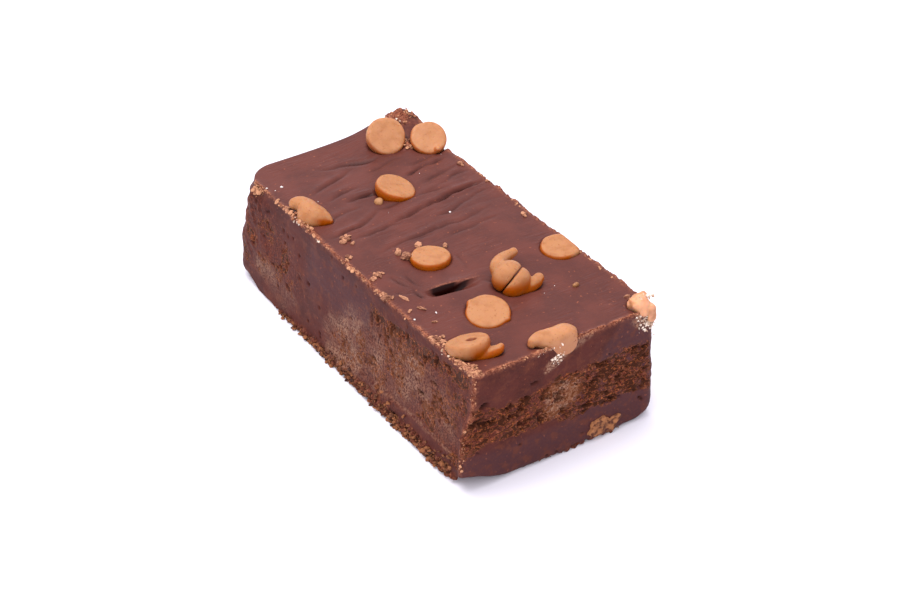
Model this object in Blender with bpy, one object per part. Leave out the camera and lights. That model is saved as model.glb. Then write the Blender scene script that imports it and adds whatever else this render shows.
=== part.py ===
"""A cut bar of chocolate fudge with tan baking chips set in its poured top.

Frame: +Z up, origin at the middle of the footprint, on the surface the bar rests on. +Y runs
along the bar to its poured, rounded end. The faces at -X, +X and -Y are knife cuts. Sizes below
are in millimetres and are turned to metres where a mesh is made.
"""

import math

import bmesh
import bpy
import numpy as np
from mathutils import Matrix, Vector

MM = 0.001

# Driving dimensions of the bar
BASE_WIDTH = 50.6
BASE_LENGTH = 105.6
HEIGHT = 29.4
FLARE_LEFT = 2.4          # how far each face leans out from the top edge to the base
FLARE_RIGHT = 1.1
FLARE_FRONT = 1.1
FLARE_BACK = 3.4
GAP = 0.3                 # clearance between a chip and its socket

# Vertical corners in plan: (side in X, side in Y) -> radius at the base, radius at the top
CORNERS = {
    (-1, -1): (0.6, 0.6),
    (1, -1): (2.5, 1.2),
    (-1, 1): (4.0, 8.5),
    (1, 1): (4.0, 3.0),
}

# Rounding under the bar: along the cut sides, the front and the poured end
SIDE_ROUND = 0.6
FRONT_ROUND = 1.9
BACK_ROUND = 4.0
NEAR_CORNER_LIFT = 4.2    # the front left corner curls up off the surface
NEAR_CORNER_SPAN = (7.5, 5.5)
RIGHT_CORNER_ROUND = 2.2
FOOT_INSET = 2.0          # from the end of the rounding to the flat underside

# Top surface
BACK_ROLL = 0.7           # drop of the top at the poured end
BACK_ROLL_WIDTH = 6.0
PEAK_HEIGHT = 3.6         # torn lump at the back right corner
PEAK_PLACE = (20.5, 47.5)
PEAK_SPAN = (11.0, 7.5)

# Folds in the skin of the top: start, end, bow sideways, depth, half width
FOLDS = [
    ((-4.2, 8.9), (24.7, 13.9), 1.6, 0.9, 1.5),
    ((-21.2, 11.6), (-4.2, 15.4), -1.0, 0.5, 1.4),
    ((-17.2, 7.9), (0.8, 8.0), 0.4, 0.3, 1.3),
    ((-17.2, 0.4), (20.7, 3.4), -0.6, 0.3, 1.4),
    ((8.7, 25.9), (22.5, 27.2), 0.3, 0.5, 1.4),
    ((-11.2, 24.2), (0.7, 23.4), 0.4, 0.6, 1.4),
    ((-5.0, 39.9), (11.0, 37.2), -0.8, 0.5, 1.6),
]
CRACK = ((-13.2, -21.0), (-0.6, -20.6), 0.9, 2.6, 1.5)

# Mesh density of the bar
COLUMNS = 20
ROWS = 70
WALL_LEVELS = 5
ROUND_STEPS = 3

# Chips: a drop with a flat round foot and a narrow tip
CHIP_HEIGHT = 6.2
CHIP_RIM = 0.85           # rounding where the foot meets the side
TIP_LENGTH = 0.55         # the blunt end, as shares of the tip's radius
TIP_WIDTH = 0.62
CHIP_SIDES = 14

FUDGE_BROWN = (0.215, 0.088, 0.072, 1.0)
CHIP_TAN = (0.730, 0.340, 0.175, 1.0)
FRAGMENT_OCHRE = (0.330, 0.140, 0.050, 1.0)


def clear_scene():
    """Remove every object already in the file."""
    for item in list(bpy.data.objects):
        bpy.data.objects.remove(item, do_unlink=True)


def plain_material(name, colour, roughness):
    """A dielectric finish of one colour."""
    material = bpy.data.materials.new(name)
    material.use_nodes = True
    shader = material.node_tree.nodes["Principled BSDF"]
    shader.inputs["Base Color"].default_value = colour
    shader.inputs["Roughness"].default_value = roughness
    shader.inputs["Metallic"].default_value = 0.0
    material.diffuse_color = colour
    return material


def smooth_step(low, high, value):
    """0 below low, 1 above high, with a smooth ramp between."""
    ramp = np.clip((value - low) / (high - low), 0.0, 1.0)
    return ramp * ramp * (3.0 - 2.0 * ramp)


def fold_profile(x, y, fold):
    """Depth of one fold: a groove along a bowed line with a low lip on its far side."""
    start, end, bow, depth, half_width = fold
    start, end = np.array(start), np.array(end)
    run = end - start
    length = np.linalg.norm(run)
    run = run / length
    along = ((x - start[0]) * run[0] + (y - start[1]) * run[1]) / length
    across = (y - start[1]) * run[0] - (x - start[0]) * run[1]
    across = across - bow * 4.0 * along * (1.0 - along)
    fade = smooth_step(-0.05, 0.2, along) * (1.0 - smooth_step(0.8, 1.05, along))
    groove = np.exp(-(across / half_width) ** 2)
    lip = np.exp(-((across - 1.7 * half_width) / (1.4 * half_width)) ** 2)
    return fade * depth * (0.45 * lip - groove)


def top_relief(x, y):
    """Height of the top skin above the nominal level, over the whole plan."""
    back = BASE_LENGTH / 2.0 - FLARE_BACK
    roll = smooth_step(back - BACK_ROLL_WIDTH, back, y) ** 2
    peak = ((x - PEAK_PLACE[0]) / PEAK_SPAN[0]) ** 2 + ((y - PEAK_PLACE[1]) / PEAK_SPAN[1]) ** 2
    relief = -BACK_ROLL * roll + (PEAK_HEIGHT + BACK_ROLL * roll) * np.exp(-peak)
    for fold in FOLDS + [CRACK]:
        relief = relief + fold_profile(x, y, fold)
    return relief


def plan_point(u, v, level, inset):
    """Place a unit grid point in plan at a level (0 base, 1 top), inset from the outline."""
    left = -BASE_WIDTH / 2.0 + FLARE_LEFT * level + inset
    right = BASE_WIDTH / 2.0 - FLARE_RIGHT * level - inset
    front = -BASE_LENGTH / 2.0 + FLARE_FRONT * level + inset
    back = BASE_LENGTH / 2.0 - FLARE_BACK * level ** 2 - inset
    x = left + (right - left) * (u + 1.0) / 2.0
    y = front + (back - front) * (v + 1.0) / 2.0
    for (side_x, side_y), (base_radius, top_radius) in CORNERS.items():
        radius = np.maximum(base_radius + (top_radius - base_radius) * level - inset, 0.3)
        centre_x = (right if side_x > 0 else left) - side_x * radius
        centre_y = (back if side_y > 0 else front) - side_y * radius
        out_x = side_x * (x - centre_x)
        out_y = side_y * (y - centre_y)
        inside = (out_x > 0.0) & (out_y > 0.0)
        reach = np.maximum(out_x, out_y)
        pull = np.where(inside, reach / np.maximum(np.hypot(out_x, out_y), 1e-9), 1.0)
        x = np.where(inside, centre_x + side_x * out_x * pull, x)
        y = np.where(inside, centre_y + side_y * out_y * pull, y)
    return x, y


def foot_rounding(x, y):
    """Radius of the rounding under the bar at a place on its outline."""
    front = 1.0 - smooth_step(-BASE_LENGTH / 2.0, -BASE_LENGTH / 2.0 + 5.0, y)
    back = smooth_step(BASE_LENGTH / 2.0 - 12.0, BASE_LENGTH / 2.0 - 4.0, y)
    right = smooth_step(BASE_WIDTH / 2.0 - 5.0, BASE_WIDTH / 2.0, x)
    radius = SIDE_ROUND + (FRONT_ROUND - SIDE_ROUND) * front + (BACK_ROUND - SIDE_ROUND) * back
    return radius + RIGHT_CORNER_ROUND * right * front


def foot_lift(x, y):
    """How far the outline's foot is lifted at the front left corner."""
    from_x = (x + BASE_WIDTH / 2.0) / NEAR_CORNER_SPAN[0]
    from_y = (y + BASE_LENGTH / 2.0) / NEAR_CORNER_SPAN[1]
    nearness = np.clip(1.0 - np.hypot(from_x, from_y), 0.0, 1.0)
    return NEAR_CORNER_LIFT * nearness


def outline_parameters():
    """Unit coordinates of the outline's points, in order round the bar."""
    across = np.linspace(-1.0, 1.0, COLUMNS + 1)
    along = np.linspace(-1.0, 1.0, ROWS + 1)
    front = [(u, -1.0) for u in across[:-1]]
    right = [(1.0, v) for v in along[:-1]]
    back = [(u, 1.0) for u in across[:0:-1]]
    left = [(-1.0, v) for v in along[:0:-1]]
    return np.array(front + right + back + left)


def wall_rings(outline):
    """Rings of points from just under the top edge down to the flat underside."""
    u, v = outline[:, 0], outline[:, 1]
    base_x, base_y = plan_point(u, v, 0.0, 0.0)
    radius = foot_rounding(base_x, base_y)
    lift = foot_lift(base_x, base_y)
    top_x, top_y = plan_point(u, v, 1.0, 0.0)
    top_z = HEIGHT + top_relief(top_x, top_y)
    low_z = lift + radius
    rings = []
    for step in range(1, WALL_LEVELS):
        z = top_z + (low_z - top_z) * step / WALL_LEVELS
        x, y = plan_point(u, v, z / HEIGHT, 0.0)
        rings.append(np.column_stack([x, y, z]))
    for step in range(ROUND_STEPS + 1):
        angle = math.pi / 2.0 * step / (ROUND_STEPS + 1)
        z = lift + radius * (1.0 - math.sin(angle))
        x, y = plan_point(u, v, z / HEIGHT, radius * (1.0 - math.cos(angle)))
        rings.append(np.column_stack([x, y, z]))
    x, y = plan_point(u, v, 0.0, radius + lift * 1.3 + FOOT_INSET)
    rings.append(np.column_stack([x, y, np.zeros_like(x)]))
    return rings


def fudge_bar(material):
    """The bar itself: a gridded top, ringed walls and a flat underside."""
    shape = bmesh.new()
    grid = {}
    for i, u in enumerate(np.linspace(-1.0, 1.0, COLUMNS + 1)):
        for j, v in enumerate(np.linspace(-1.0, 1.0, ROWS + 1)):
            x, y = plan_point(np.array(u), np.array(v), 1.0, 0.0)
            z = HEIGHT + top_relief(x, y)
            grid[i, j] = shape.verts.new(Vector((float(x), float(y), float(z))) * MM)
    for i in range(COLUMNS):
        for j in range(ROWS):
            shape.faces.new((grid[i, j], grid[i + 1, j], grid[i + 1, j + 1], grid[i, j + 1]))
    edge = [grid[i, 0] for i in range(COLUMNS)]
    edge += [grid[COLUMNS, j] for j in range(ROWS)]
    edge += [grid[i, ROWS] for i in range(COLUMNS, 0, -1)]
    edge += [grid[0, j] for j in range(ROWS, 0, -1)]
    for ring in wall_rings(outline_parameters()):
        lower = [shape.verts.new(Vector(point) * MM) for point in ring]
        skin_between(shape, edge, lower)
        edge = lower
    shape.faces.new(list(reversed(edge)))
    bmesh.ops.triangulate(shape, faces=[face for face in shape.faces if len(face.verts) == 4])
    return make_object("fudge", shape, material)


def skin_between(shape, upper, lower):
    """Faces between two rings of equal length, the upper one first."""
    count = len(upper)
    for k in range(count):
        after = (k + 1) % count
        shape.faces.new((upper[k], lower[k], lower[after], upper[after]))


def make_object(name, shape, material):
    """Turn a bmesh into a scene object with one material."""
    mesh = bpy.data.meshes.new(name)
    bmesh.ops.recalc_face_normals(shape, faces=shape.faces[:])
    shape.to_mesh(mesh)
    shape.free()
    mesh.shade_smooth()
    mesh.set_sharp_from_angle(angle=math.radians(40.0))
    mesh.materials.append(material)
    item = bpy.data.objects.new(name, mesh)
    bpy.context.scene.collection.objects.link(item)
    return item


def upright_spine(diameter):
    """Spine of a whole drop: height above its foot, no sideways bend, radius at each height."""
    radius = diameter / 2.0
    return [
        (0.0, 0.0, 0.0, radius),
        (0.0, 0.0, 0.36 * CHIP_HEIGHT, 0.92 * radius),
        (0.0, 0.0, 0.72 * CHIP_HEIGHT, 0.52 * radius),
        (0.0, 0.0, CHIP_HEIGHT, 0.20 * radius),
    ]


def spine_samples(spine, steps):
    """Points and radii on a smooth curve through a spine, after Catmull and Rom."""
    knots = np.array(spine, dtype=float)
    knots = np.vstack([2.0 * knots[0] - knots[1], knots, 2.0 * knots[-1] - knots[-2]])
    samples = []
    for k in range(1, len(knots) - 2):
        before, here, there, beyond = knots[k - 1:k + 3]
        for step in range(steps):
            t = step / steps
            samples.append(0.5 * (2.0 * here + (there - before) * t
                                  + (2.0 * before - 5.0 * here + 4.0 * there - beyond) * t ** 2
                                  + (3.0 * here - before - 3.0 * there + beyond) * t ** 3))
    samples.append(knots[-2])
    return np.array(samples)


def drop_mesh(spine, grow=0.0, steps=2):
    """A closed drop swept along its spine; grow makes every face stand out by that much."""
    samples = spine_samples(spine, steps)
    centres, radii = samples[:, :3], samples[:, 3] + grow
    tangents = np.gradient(centres, axis=0)
    tangents /= np.linalg.norm(tangents, axis=1)[:, None]
    rim = min(CHIP_RIM, 0.5 * radii[0])
    foot = centres[0] - tangents[0] * grow
    rings = [
        (foot, tangents[0], radii[0] - rim),
        (foot + tangents[0] * 0.3 * rim, tangents[0], radii[0] - 0.29 * rim),
        (foot + tangents[0] * rim, tangents[0], radii[0]),
    ]
    for centre, tangent, radius in zip(centres[1:], tangents[1:], radii[1:]):
        rings.append((centre, tangent, radius))
    tip_radius = samples[-1, 3]
    tip = centres[-1] + tangents[-1] * (TIP_LENGTH * tip_radius + grow)
    rings.append((tip, tangents[-1], TIP_WIDTH * tip_radius + grow))

    shape = bmesh.new()
    frame = Vector(tangents[0]).to_track_quat("Z", "Y")
    previous = Vector(tangents[0])
    loop = None
    for centre, tangent, radius in rings:
        frame = previous.rotation_difference(Vector(tangent)) @ frame
        previous = Vector(tangent)
        ring = []
        for side in range(CHIP_SIDES):
            angle = 2.0 * math.pi * side / CHIP_SIDES
            spoke = frame @ Vector((math.cos(angle), math.sin(angle), 0.0)) * float(radius)
            ring.append(shape.verts.new((Vector(centre) + spoke) * MM))
        if loop is None:
            shape.faces.new(list(reversed(ring)))
        else:
            skin_between(shape, ring, loop)
        loop = ring
    shape.faces.new(loop)
    return shape


def knife(name, anchor, outward):
    """A big block standing just outside one cut face, used to trim chips flush with it."""
    size = 120.0
    shape = bmesh.new()
    bmesh.ops.create_cube(shape, size=size * MM)
    bmesh.ops.translate(shape, verts=shape.verts[:], vec=(0.0, 0.0, size / 2.0 * MM))
    mesh = bpy.data.meshes.new(name)
    shape.to_mesh(mesh)
    shape.free()
    item = bpy.data.objects.new(name, mesh)
    item.location = Vector(anchor) * MM
    item.rotation_euler = Vector(outward).to_track_quat("Z", "Y").to_euler()
    hide_cutter(item)
    return item


def hide_cutter(item):
    """Link an object as a guide that is not part of the model."""
    item.hide_render = True
    item.display_type = "WIRE"
    bpy.context.scene.collection.objects.link(item)


def cut(item, cutter):
    """Subtract one object from another with an exact Boolean."""
    modifier = item.modifiers.new("cut_" + cutter.name, "BOOLEAN")
    modifier.operation = "DIFFERENCE"
    modifier.solver = "EXACT"
    modifier.object = cutter


def face_knives():
    """Trimming blocks for the three cut faces."""
    middle = HEIGHT / 2.0
    return {
        "left": knife("knife_left", (-BASE_WIDTH / 2.0 + FLARE_LEFT / 2.0, 0.0, middle),
                      (-HEIGHT, 0.0, FLARE_LEFT)),
        "right": knife("knife_right", (BASE_WIDTH / 2.0 - FLARE_RIGHT / 2.0, 0.0, middle),
                       (HEIGHT, 0.0, FLARE_RIGHT)),
        "front": knife("knife_front", (0.0, -BASE_LENGTH / 2.0 + FLARE_FRONT / 2.0, middle),
                       (0.0, -HEIGHT, FLARE_FRONT)),
    }


# Chips pressed in upside down: name, middle of the foot, lean and heading of the foot's
# outward direction in degrees, diameter, faces that trim it
DISC_CHIPS = [
    ("chip_disc_corner", (12.5, 40.0, 33.0), 45.0, -99.0, 9.8, ()),
    ("chip_disc_edge_back", (21.6, 34.9, 32.2), 33.0, -113.0, 9.2, ()),
    ("chip_disc_tilted", (3.6, 21.2, 31.0), 18.0, -38.0, 9.8, ()),
    ("chip_disc_middle", (-5.8, -8.4, 30.6), 3.0, 45.0, 9.3, ()),
    ("chip_disc_edge_right", (21.5, -20.9, 30.2), 5.0, -145.0, 9.2, ("right",)),
    ("chip_disc_large", (-7.2, -33.6, 30.2), 13.0, -126.0, 9.9, ()),
]

# Chips lying on their side with a curled tip: name, spine of (x, y, z, radius) from the foot,
# faces that trim it
CURLED_CHIPS = [
    ("chip_curl_tall", [(2.5, -26.6, 29.4, 4.4), (2.1, -24.2, 30.9, 3.3), (3.5, -21.6, 31.8, 2.2),
                        (6.4, -20.1, 31.9, 1.5), (9.8, -20.0, 31.6, 1.1)], ()),
    ("chip_curl_low", [(3.2, -27.8, 28.9, 4.3), (4.3, -30.0, 28.2, 3.1), (6.0, -31.7, 28.9, 2.2),
                       (8.0, -31.8, 30.0, 1.5), (9.5, -31.0, 30.9, 1.2)], ()),
    ("chip_curl_left", [(-19.8, 19.2, 29.6, 4.0), (-19.8, 22.8, 30.4, 3.5),
                        (-20.3, 25.8, 31.0, 2.4), (-21.5, 27.3, 31.0, 1.4),
                        (-22.9, 27.4, 30.7, 0.9)], ("left",)),
    ("chip_curl_corner", [(-18.3, -41.1, 31.2, 4.9), (-18.6, -43.1, 29.4, 3.2),
                          (-17.8, -45.6, 29.2, 1.8), (-15.6, -47.0, 29.8, 1.3),
                          (-13.1, -47.2, 30.4, 0.9)], ("left",)),
    ("chip_curl_front", [(0.4, -53.0, 29.0, 3.8), (-1.1, -50.4, 30.1, 3.3),
                         (-2.9, -49.1, 30.8, 2.4), (-5.1, -48.6, 30.6, 1.5),
                         (-6.2, -48.6, 30.0, 1.0)], ("front",)),
    ("chip_corner_right", [(22.5, -50.0, 31.4, 3.3), (22.8, -50.1, 29.4, 3.4),
                           (23.1, -50.4, 26.9, 2.6), (23.2, -50.5, 25.0, 1.2)],
     ("right", "front")),
]

# Piece of a chip low in the front face: middle, half sizes, face that trims it
FRAGMENT = ("chip_fragment_front", (10.6, -52.2, 3.8), (4.1, 3.6, 2.9), ("front",))


def fragment_mesh(half_sizes, grow=0.0):
    """A blunt lump with three half sizes."""
    shape = bmesh.new()
    bmesh.ops.create_uvsphere(shape, u_segments=CHIP_SIDES, v_segments=8, radius=1.0)
    scale = [(half + grow) * MM for half in half_sizes]
    bmesh.ops.transform(shape, matrix=Matrix.Diagonal((*scale, 1.0)), verts=shape.verts[:])
    return shape


def socket_cutter(name, shape, location, rotation):
    """A hidden, slightly larger copy of a chip that makes its socket in the fudge."""
    mesh = bpy.data.meshes.new(name)
    bmesh.ops.recalc_face_normals(shape, faces=shape.faces[:])
    shape.to_mesh(mesh)
    shape.free()
    item = bpy.data.objects.new(name, mesh)
    item.location = location
    item.rotation_euler = rotation
    hide_cutter(item)
    return item


def place_chip(name, build, location, rotation, trims, material, knives, fudge):
    """Make a chip, trim it flush with the cut faces and cut its socket in the fudge."""
    chip = make_object(name, build(0.0), material)
    chip.location = Vector(location) * MM
    chip.rotation_euler = rotation
    for side in trims:
        cut(chip, knives[side])
    cut(fudge, socket_cutter("socket_" + name, build(GAP), chip.location, rotation))
    return chip


def set_chips(fudge):
    """Place every chip in the bar."""
    tan = plain_material("chip_tan", CHIP_TAN, 0.45)
    ochre = plain_material("fragment_ochre", FRAGMENT_OCHRE, 0.6)
    knives = face_knives()
    chips = []
    for name, middle, lean, heading, diameter, trims in DISC_CHIPS:
        lean_angle, turn = math.radians(lean), math.radians(heading)
        outward = Vector((math.sin(lean_angle) * math.cos(turn),
                          math.sin(lean_angle) * math.sin(turn), math.cos(lean_angle)))
        rotation = (-outward).to_track_quat("Z", "Y").to_euler()
        spine = upright_spine(diameter)
        chips.append(place_chip(name, lambda grow, s=spine: drop_mesh(s, grow), middle,
                                rotation, trims, tan, knives, fudge))
    for name, spine, trims in CURLED_CHIPS:
        foot = spine[0][:3]
        local = [(x - foot[0], y - foot[1], z - foot[2], r) for x, y, z, r in spine]
        chips.append(place_chip(name, lambda grow, s=local: drop_mesh(s, grow), foot,
                                (0.0, 0.0, 0.0), trims, tan, knives, fudge))
    name, middle, half_sizes, trims = FRAGMENT
    chips.append(place_chip(name, lambda grow: fragment_mesh(half_sizes, grow), middle,
                            (0.0, 0.0, 0.0), trims, ochre, knives, fudge))
    return chips


def main():
    """Build the bar and its chips under one empty."""
    clear_scene()
    bar = bpy.data.objects.new("bar_origin", None)
    bpy.context.scene.collection.objects.link(bar)
    fudge = fudge_bar(plain_material("fudge_brown", FUDGE_BROWN, 0.5))
    fudge.parent = bar
    for chip in set_chips(fudge):
        chip.parent = bar


main()
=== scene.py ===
"""Looks of a cut bar of chocolate fudge with tan baking chips in its poured top.

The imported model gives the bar's solids. Every shape here is worked out in millimetres, in the
frame of those solids, and turned to metres where its mesh is made. +Y runs along the bar to its
poured end, the faces at -X, +X and -Y are knife cuts, and the bar rests on z = 0.
"""

from __future__ import annotations

import logging
import math
from dataclasses import dataclass, field
from enum import Enum
from typing import Callable, Iterable, Sequence

import bmesh
import bpy
import numpy as np
from mathutils import Matrix, Vector

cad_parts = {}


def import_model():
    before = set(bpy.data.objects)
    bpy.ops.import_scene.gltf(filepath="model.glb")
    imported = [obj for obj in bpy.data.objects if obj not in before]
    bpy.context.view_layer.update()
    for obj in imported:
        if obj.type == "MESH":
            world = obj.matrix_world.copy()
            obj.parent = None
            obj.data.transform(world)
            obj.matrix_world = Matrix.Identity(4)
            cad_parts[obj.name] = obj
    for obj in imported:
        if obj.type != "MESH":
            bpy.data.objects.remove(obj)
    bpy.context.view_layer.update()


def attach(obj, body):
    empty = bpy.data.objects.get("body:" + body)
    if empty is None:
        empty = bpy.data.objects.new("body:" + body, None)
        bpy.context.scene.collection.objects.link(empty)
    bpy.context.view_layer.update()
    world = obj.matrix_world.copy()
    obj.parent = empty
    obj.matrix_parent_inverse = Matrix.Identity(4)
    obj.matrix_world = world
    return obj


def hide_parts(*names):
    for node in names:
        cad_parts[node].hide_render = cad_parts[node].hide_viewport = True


LOG = logging.getLogger("fudge_bar")
MM = 0.001
BODY = "root"

Array = np.ndarray
Point = tuple[float, float, float]


# ---------------- colour and nodes


def linear(hex_colour: str) -> tuple[float, float, float, float]:
    """Turn an sRGB hex colour into linear light.

    Args:
        hex_colour: six hex digits after a hash.

    Returns:
        Linear red, green, blue and an alpha of 1.
    """
    parts = [int(hex_colour[k:k + 2], 16) / 255.0 for k in (1, 3, 5)]
    red, green, blue = (c / 12.92 if c <= 0.04045 else ((c + 0.055) / 1.055) ** 2.4 for c in parts)
    return red, green, blue, 1.0


def per_mm(size_mm: float) -> float:
    """Texture scale, in object space metres, that makes one feature size_mm across."""
    return 1.0 / (size_mm * MM)


def feed(tree: bpy.types.NodeTree, node: bpy.types.Node, inputs: dict[str | int, object]) -> None:
    """Set a node's inputs.

    Args:
        tree: the tree that holds the node.
        node: the node.
        inputs: input names or numbers, each with its value or the output socket that feeds it.
    """
    for key, value in inputs.items():
        if isinstance(value, bpy.types.NodeSocket):
            tree.links.new(value, node.inputs[key])
        else:
            node.inputs[key].default_value = value


def add_node(tree: bpy.types.NodeTree, kind: str, inputs: dict[str | int, object] | None = None,
             **settings: object) -> bpy.types.bpy_prop_collection:
    """Add one shader node with its settings and links.

    Args:
        tree: the material's node tree.
        kind: the node's type, without the leading "ShaderNode".
        inputs: input names or numbers, each with its value or the output socket that feeds it.
        settings: properties of the node itself.

    Returns:
        The new node's outputs.
    """
    made = tree.nodes.new("ShaderNode" + kind)
    for name, value in settings.items():
        setattr(made, name, value)
    feed(tree, made, inputs or {})
    return made.outputs


@dataclass(frozen=True)
class Pattern:
    """Unevenness of a substance.

    Attributes:
        size_mm: width of one feature.
        detail: number of finer octaves.
        roughness: how strong those are.
        squeeze: share of the distance that counts along each axis; under 1 draws the pattern out.
    """

    size_mm: float
    detail: float = 2.0
    roughness: float = 0.6
    squeeze: Point = (1.0, 1.0, 1.0)


@dataclass(frozen=True)
class Spread:
    """How much of a coat shows: a ramp over a pattern, times masks, times a strength.

    Attributes:
        masks: names of the masks that hold the coat in.
        pattern: name of the pattern that breaks it up, if any.
        ramp: values of the pattern where the coat starts and where it is full.
        strength: its share where it is full.
    """

    masks: tuple[str, ...] = ()
    pattern: str = ""
    ramp: tuple[float, float] = (0.0, 1.0)
    strength: float = 1.0


@dataclass(frozen=True)
class Grain:
    """One layer of relief too fine for a mesh.

    Attributes:
        height: name of the socket that gives its shape.
        depth_mm: its full height.
        strength: how much of it shows, or the name of the socket that says so.
        sunk: whether high values lie deep.
    """

    height: str
    depth_mm: float
    strength: float | str
    sunk: bool = False


class Surface:
    """A material in the making: its tree, its shader and the named sockets that feed it."""

    def __init__(self, name: str, masks: Iterable[str] = (),
                 patterns: dict[str, Pattern] | None = None) -> None:
        """Start a node material.

        Args:
            name: what the real substance is.
            masks: names of the masks painted on the pieces that wear it.
            patterns: its patterns, by name.
        """
        self.material = bpy.data.materials.new(name)
        self.material.use_nodes = True
        self.tree = self.material.node_tree
        self.shader = self.tree.nodes["Principled BSDF"]
        self.sockets = {}
        for mask in masks:
            self.sockets[mask] = add_node(self.tree, "Attribute", attribute_name=mask)["Fac"]
        if patterns:
            self.sockets["place"] = add_node(self.tree, "TexCoord")["Object"]
        for key, pattern in (patterns or {}).items():
            place = self.sockets["place"]
            if min(pattern.squeeze) < 1.0:
                squeezed = {0: place, 1: pattern.squeeze}
                place = add_node(self.tree, "VectorMath", squeezed, operation="MULTIPLY")[0]
            self.sockets[key] = add_node(self.tree, "TexNoise", {
                "Vector": place, "Scale": per_mm(pattern.size_mm), "Detail": pattern.detail,
                "Roughness": pattern.roughness})["Fac"]

    def share(self, spread: Spread) -> bpy.types.NodeSocket:
        """Work out how much of a coat shows.

        Args:
            spread: where the coat lies.

        Returns:
            A socket that runs from 0 to the coat's strength.
        """
        factors: list[object] = [self.sockets[mask] for mask in spread.masks]
        if spread.pattern:
            start, full = spread.ramp
            ramp = {"Value": self.sockets[spread.pattern], "From Min": start, "From Max": full}
            factors.append(add_node(self.tree, "MapRange", ramp, interpolation_type="SMOOTHSTEP")[0])
        if spread.strength < 1.0:
            factors.append(spread.strength)
        share = factors[0]
        for factor in factors[1:]:
            share = add_node(self.tree, "Math", {0: share, 1: factor}, operation="MULTIPLY")[0]
        return share

    def layered(self, base: str, coats: Iterable[tuple[str, Spread]]) -> bpy.types.NodeSocket:
        """Lay coats of colour over a base, one after another.

        Args:
            base: a hex colour or the name of a tone.
            coats: hex colour or name of a tone, and spread, of each coat.

        Returns:
            The socket of the colour that shows.
        """
        colour = linear(base) if base.startswith("#") else self.sockets[base]
        for over, spread in coats:
            tone = linear(over) if over.startswith("#") else self.sockets[over]
            mixed = {0: self.share(spread), 6: colour, 7: tone}
            colour = add_node(self.tree, "Mix", mixed, data_type="RGBA")[2]
        return colour

    def finish(self, inputs: dict[str, object], grains: Iterable[Grain] = ()) -> bpy.types.Material:
        """Set the shader and lay the fine relief.

        Args:
            inputs: the shader's inputs, each with its value or socket.
            grains: layers of relief, the coarsest first.

        Returns:
            The finished material.
        """
        feed(self.tree, self.shader, inputs)
        below: dict[str, object] = {}
        for grain in grains:
            strength = self.sockets[grain.strength] if isinstance(grain.strength, str) else grain.strength
            bump = {"Distance": grain.depth_mm * MM, "Strength": strength,
                    "Height": self.sockets[grain.height]}
            below = {"Normal": add_node(self.tree, "Bump", {**bump, **below}, invert=grain.sunk)[0]}
        feed(self.tree, self.shader, below)
        return self.material


# ---------------- repeatable noise


class Lattice:
    """Noise over arrays of points in millimetres, the same on every run."""

    @staticmethod
    def hashed(cell: Array, seed: int) -> Array:
        """A number from 0 to 1 for each integer cell.

        Args:
            cell: integer cells, one row of three each.
            seed: picks one field of many.

        Returns:
            One value for each row.
        """
        whole = cell.astype(np.int64).astype(np.uint64)
        mixed = whole[..., 0] * np.uint64(73856093)
        mixed = mixed ^ (whole[..., 1] * np.uint64(19349663))
        mixed = mixed ^ (whole[..., 2] * np.uint64(83492791))
        mixed = (mixed + np.uint64(seed * 9781 + 12345)) & np.uint64(0xFFFFFFFF)
        for shift, factor in ((16, 0x45D9F3B), (15, 0x2C1B3C6D)):
            mixed = (mixed ^ (mixed >> np.uint64(shift))) * np.uint64(factor) & np.uint64(0xFFFFFFFF)
        mixed = mixed ^ (mixed >> np.uint64(16))
        return mixed.astype(np.float64) / 4294967295.0

    @classmethod
    def value(cls, points: Array, size: float | Sequence[float], seed: int = 0) -> Array:
        """Smooth noise from -1 to 1 with features about size across.

        Args:
            points: rows of x, y, z.
            size: feature size, one number or one for each axis.
            seed: picks one field of many.

        Returns:
            One value for each point.
        """
        scaled = points / np.asarray(size, dtype=float)
        base = np.floor(scaled)
        part = scaled - base
        part = part * part * part * (part * (part * 6.0 - 15.0) + 10.0)
        total = np.zeros(len(points))
        for corner in range(8):
            step = np.array([corner & 1, corner >> 1 & 1, corner >> 2 & 1])
            weight = np.prod(np.where(step, part, 1.0 - part), axis=-1)
            total += weight * cls.hashed(base + step, seed)
        return total * 2.0 - 1.0

    @classmethod
    def fractal(cls, points: Array, size: float | Sequence[float], seed: int = 0,
                octaves: int = 3) -> Array:
        """Several octaves of value noise, each half the size and half the height.

        Args:
            points: rows of x, y, z.
            size: feature size of the coarsest octave.
            seed: picks one field of many.
            octaves: how many there are.

        Returns:
            One value for each point, from about -1 to 1.
        """
        total = np.zeros(len(points))
        for octave in range(octaves):
            scale = 0.5 ** octave
            total += scale * cls.value(points, np.asarray(size, dtype=float) * scale, seed + 31 * octave)
        return total / 1.6

    @classmethod
    def cells(cls, points: Array, size: float | Sequence[float],
              seed: int = 0) -> tuple[Array, Array, Array]:
        """Cellular noise.

        Args:
            points: rows of x, y, z.
            size: cell size, one number or one for each axis.
            seed: picks one field of many.

        Returns:
            Distance to the nearest and to the second nearest cell centre, in cells, and a
            number from 0 to 1 that is the same all over one cell.
        """
        scaled = points / np.asarray(size, dtype=float)
        base = np.floor(scaled)
        nearest = np.full(len(points), 9.0)
        second = np.full(len(points), 9.0)
        label = np.zeros(len(points))
        for i in (-1, 0, 1):
            for j in (-1, 0, 1):
                for k in (-1, 0, 1):
                    cell = base + np.array([i, j, k])
                    centre = cell + np.stack([cls.hashed(cell, seed + s) for s in (1, 2, 3)], axis=-1)
                    distance = np.linalg.norm(scaled - centre, axis=-1)
                    closer = distance < nearest
                    second = np.where(closer, nearest, np.minimum(second, distance))
                    label = np.where(closer, cls.hashed(cell, seed + 4), label)
                    nearest = np.where(closer, distance, nearest)
        return nearest, second, label


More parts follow.
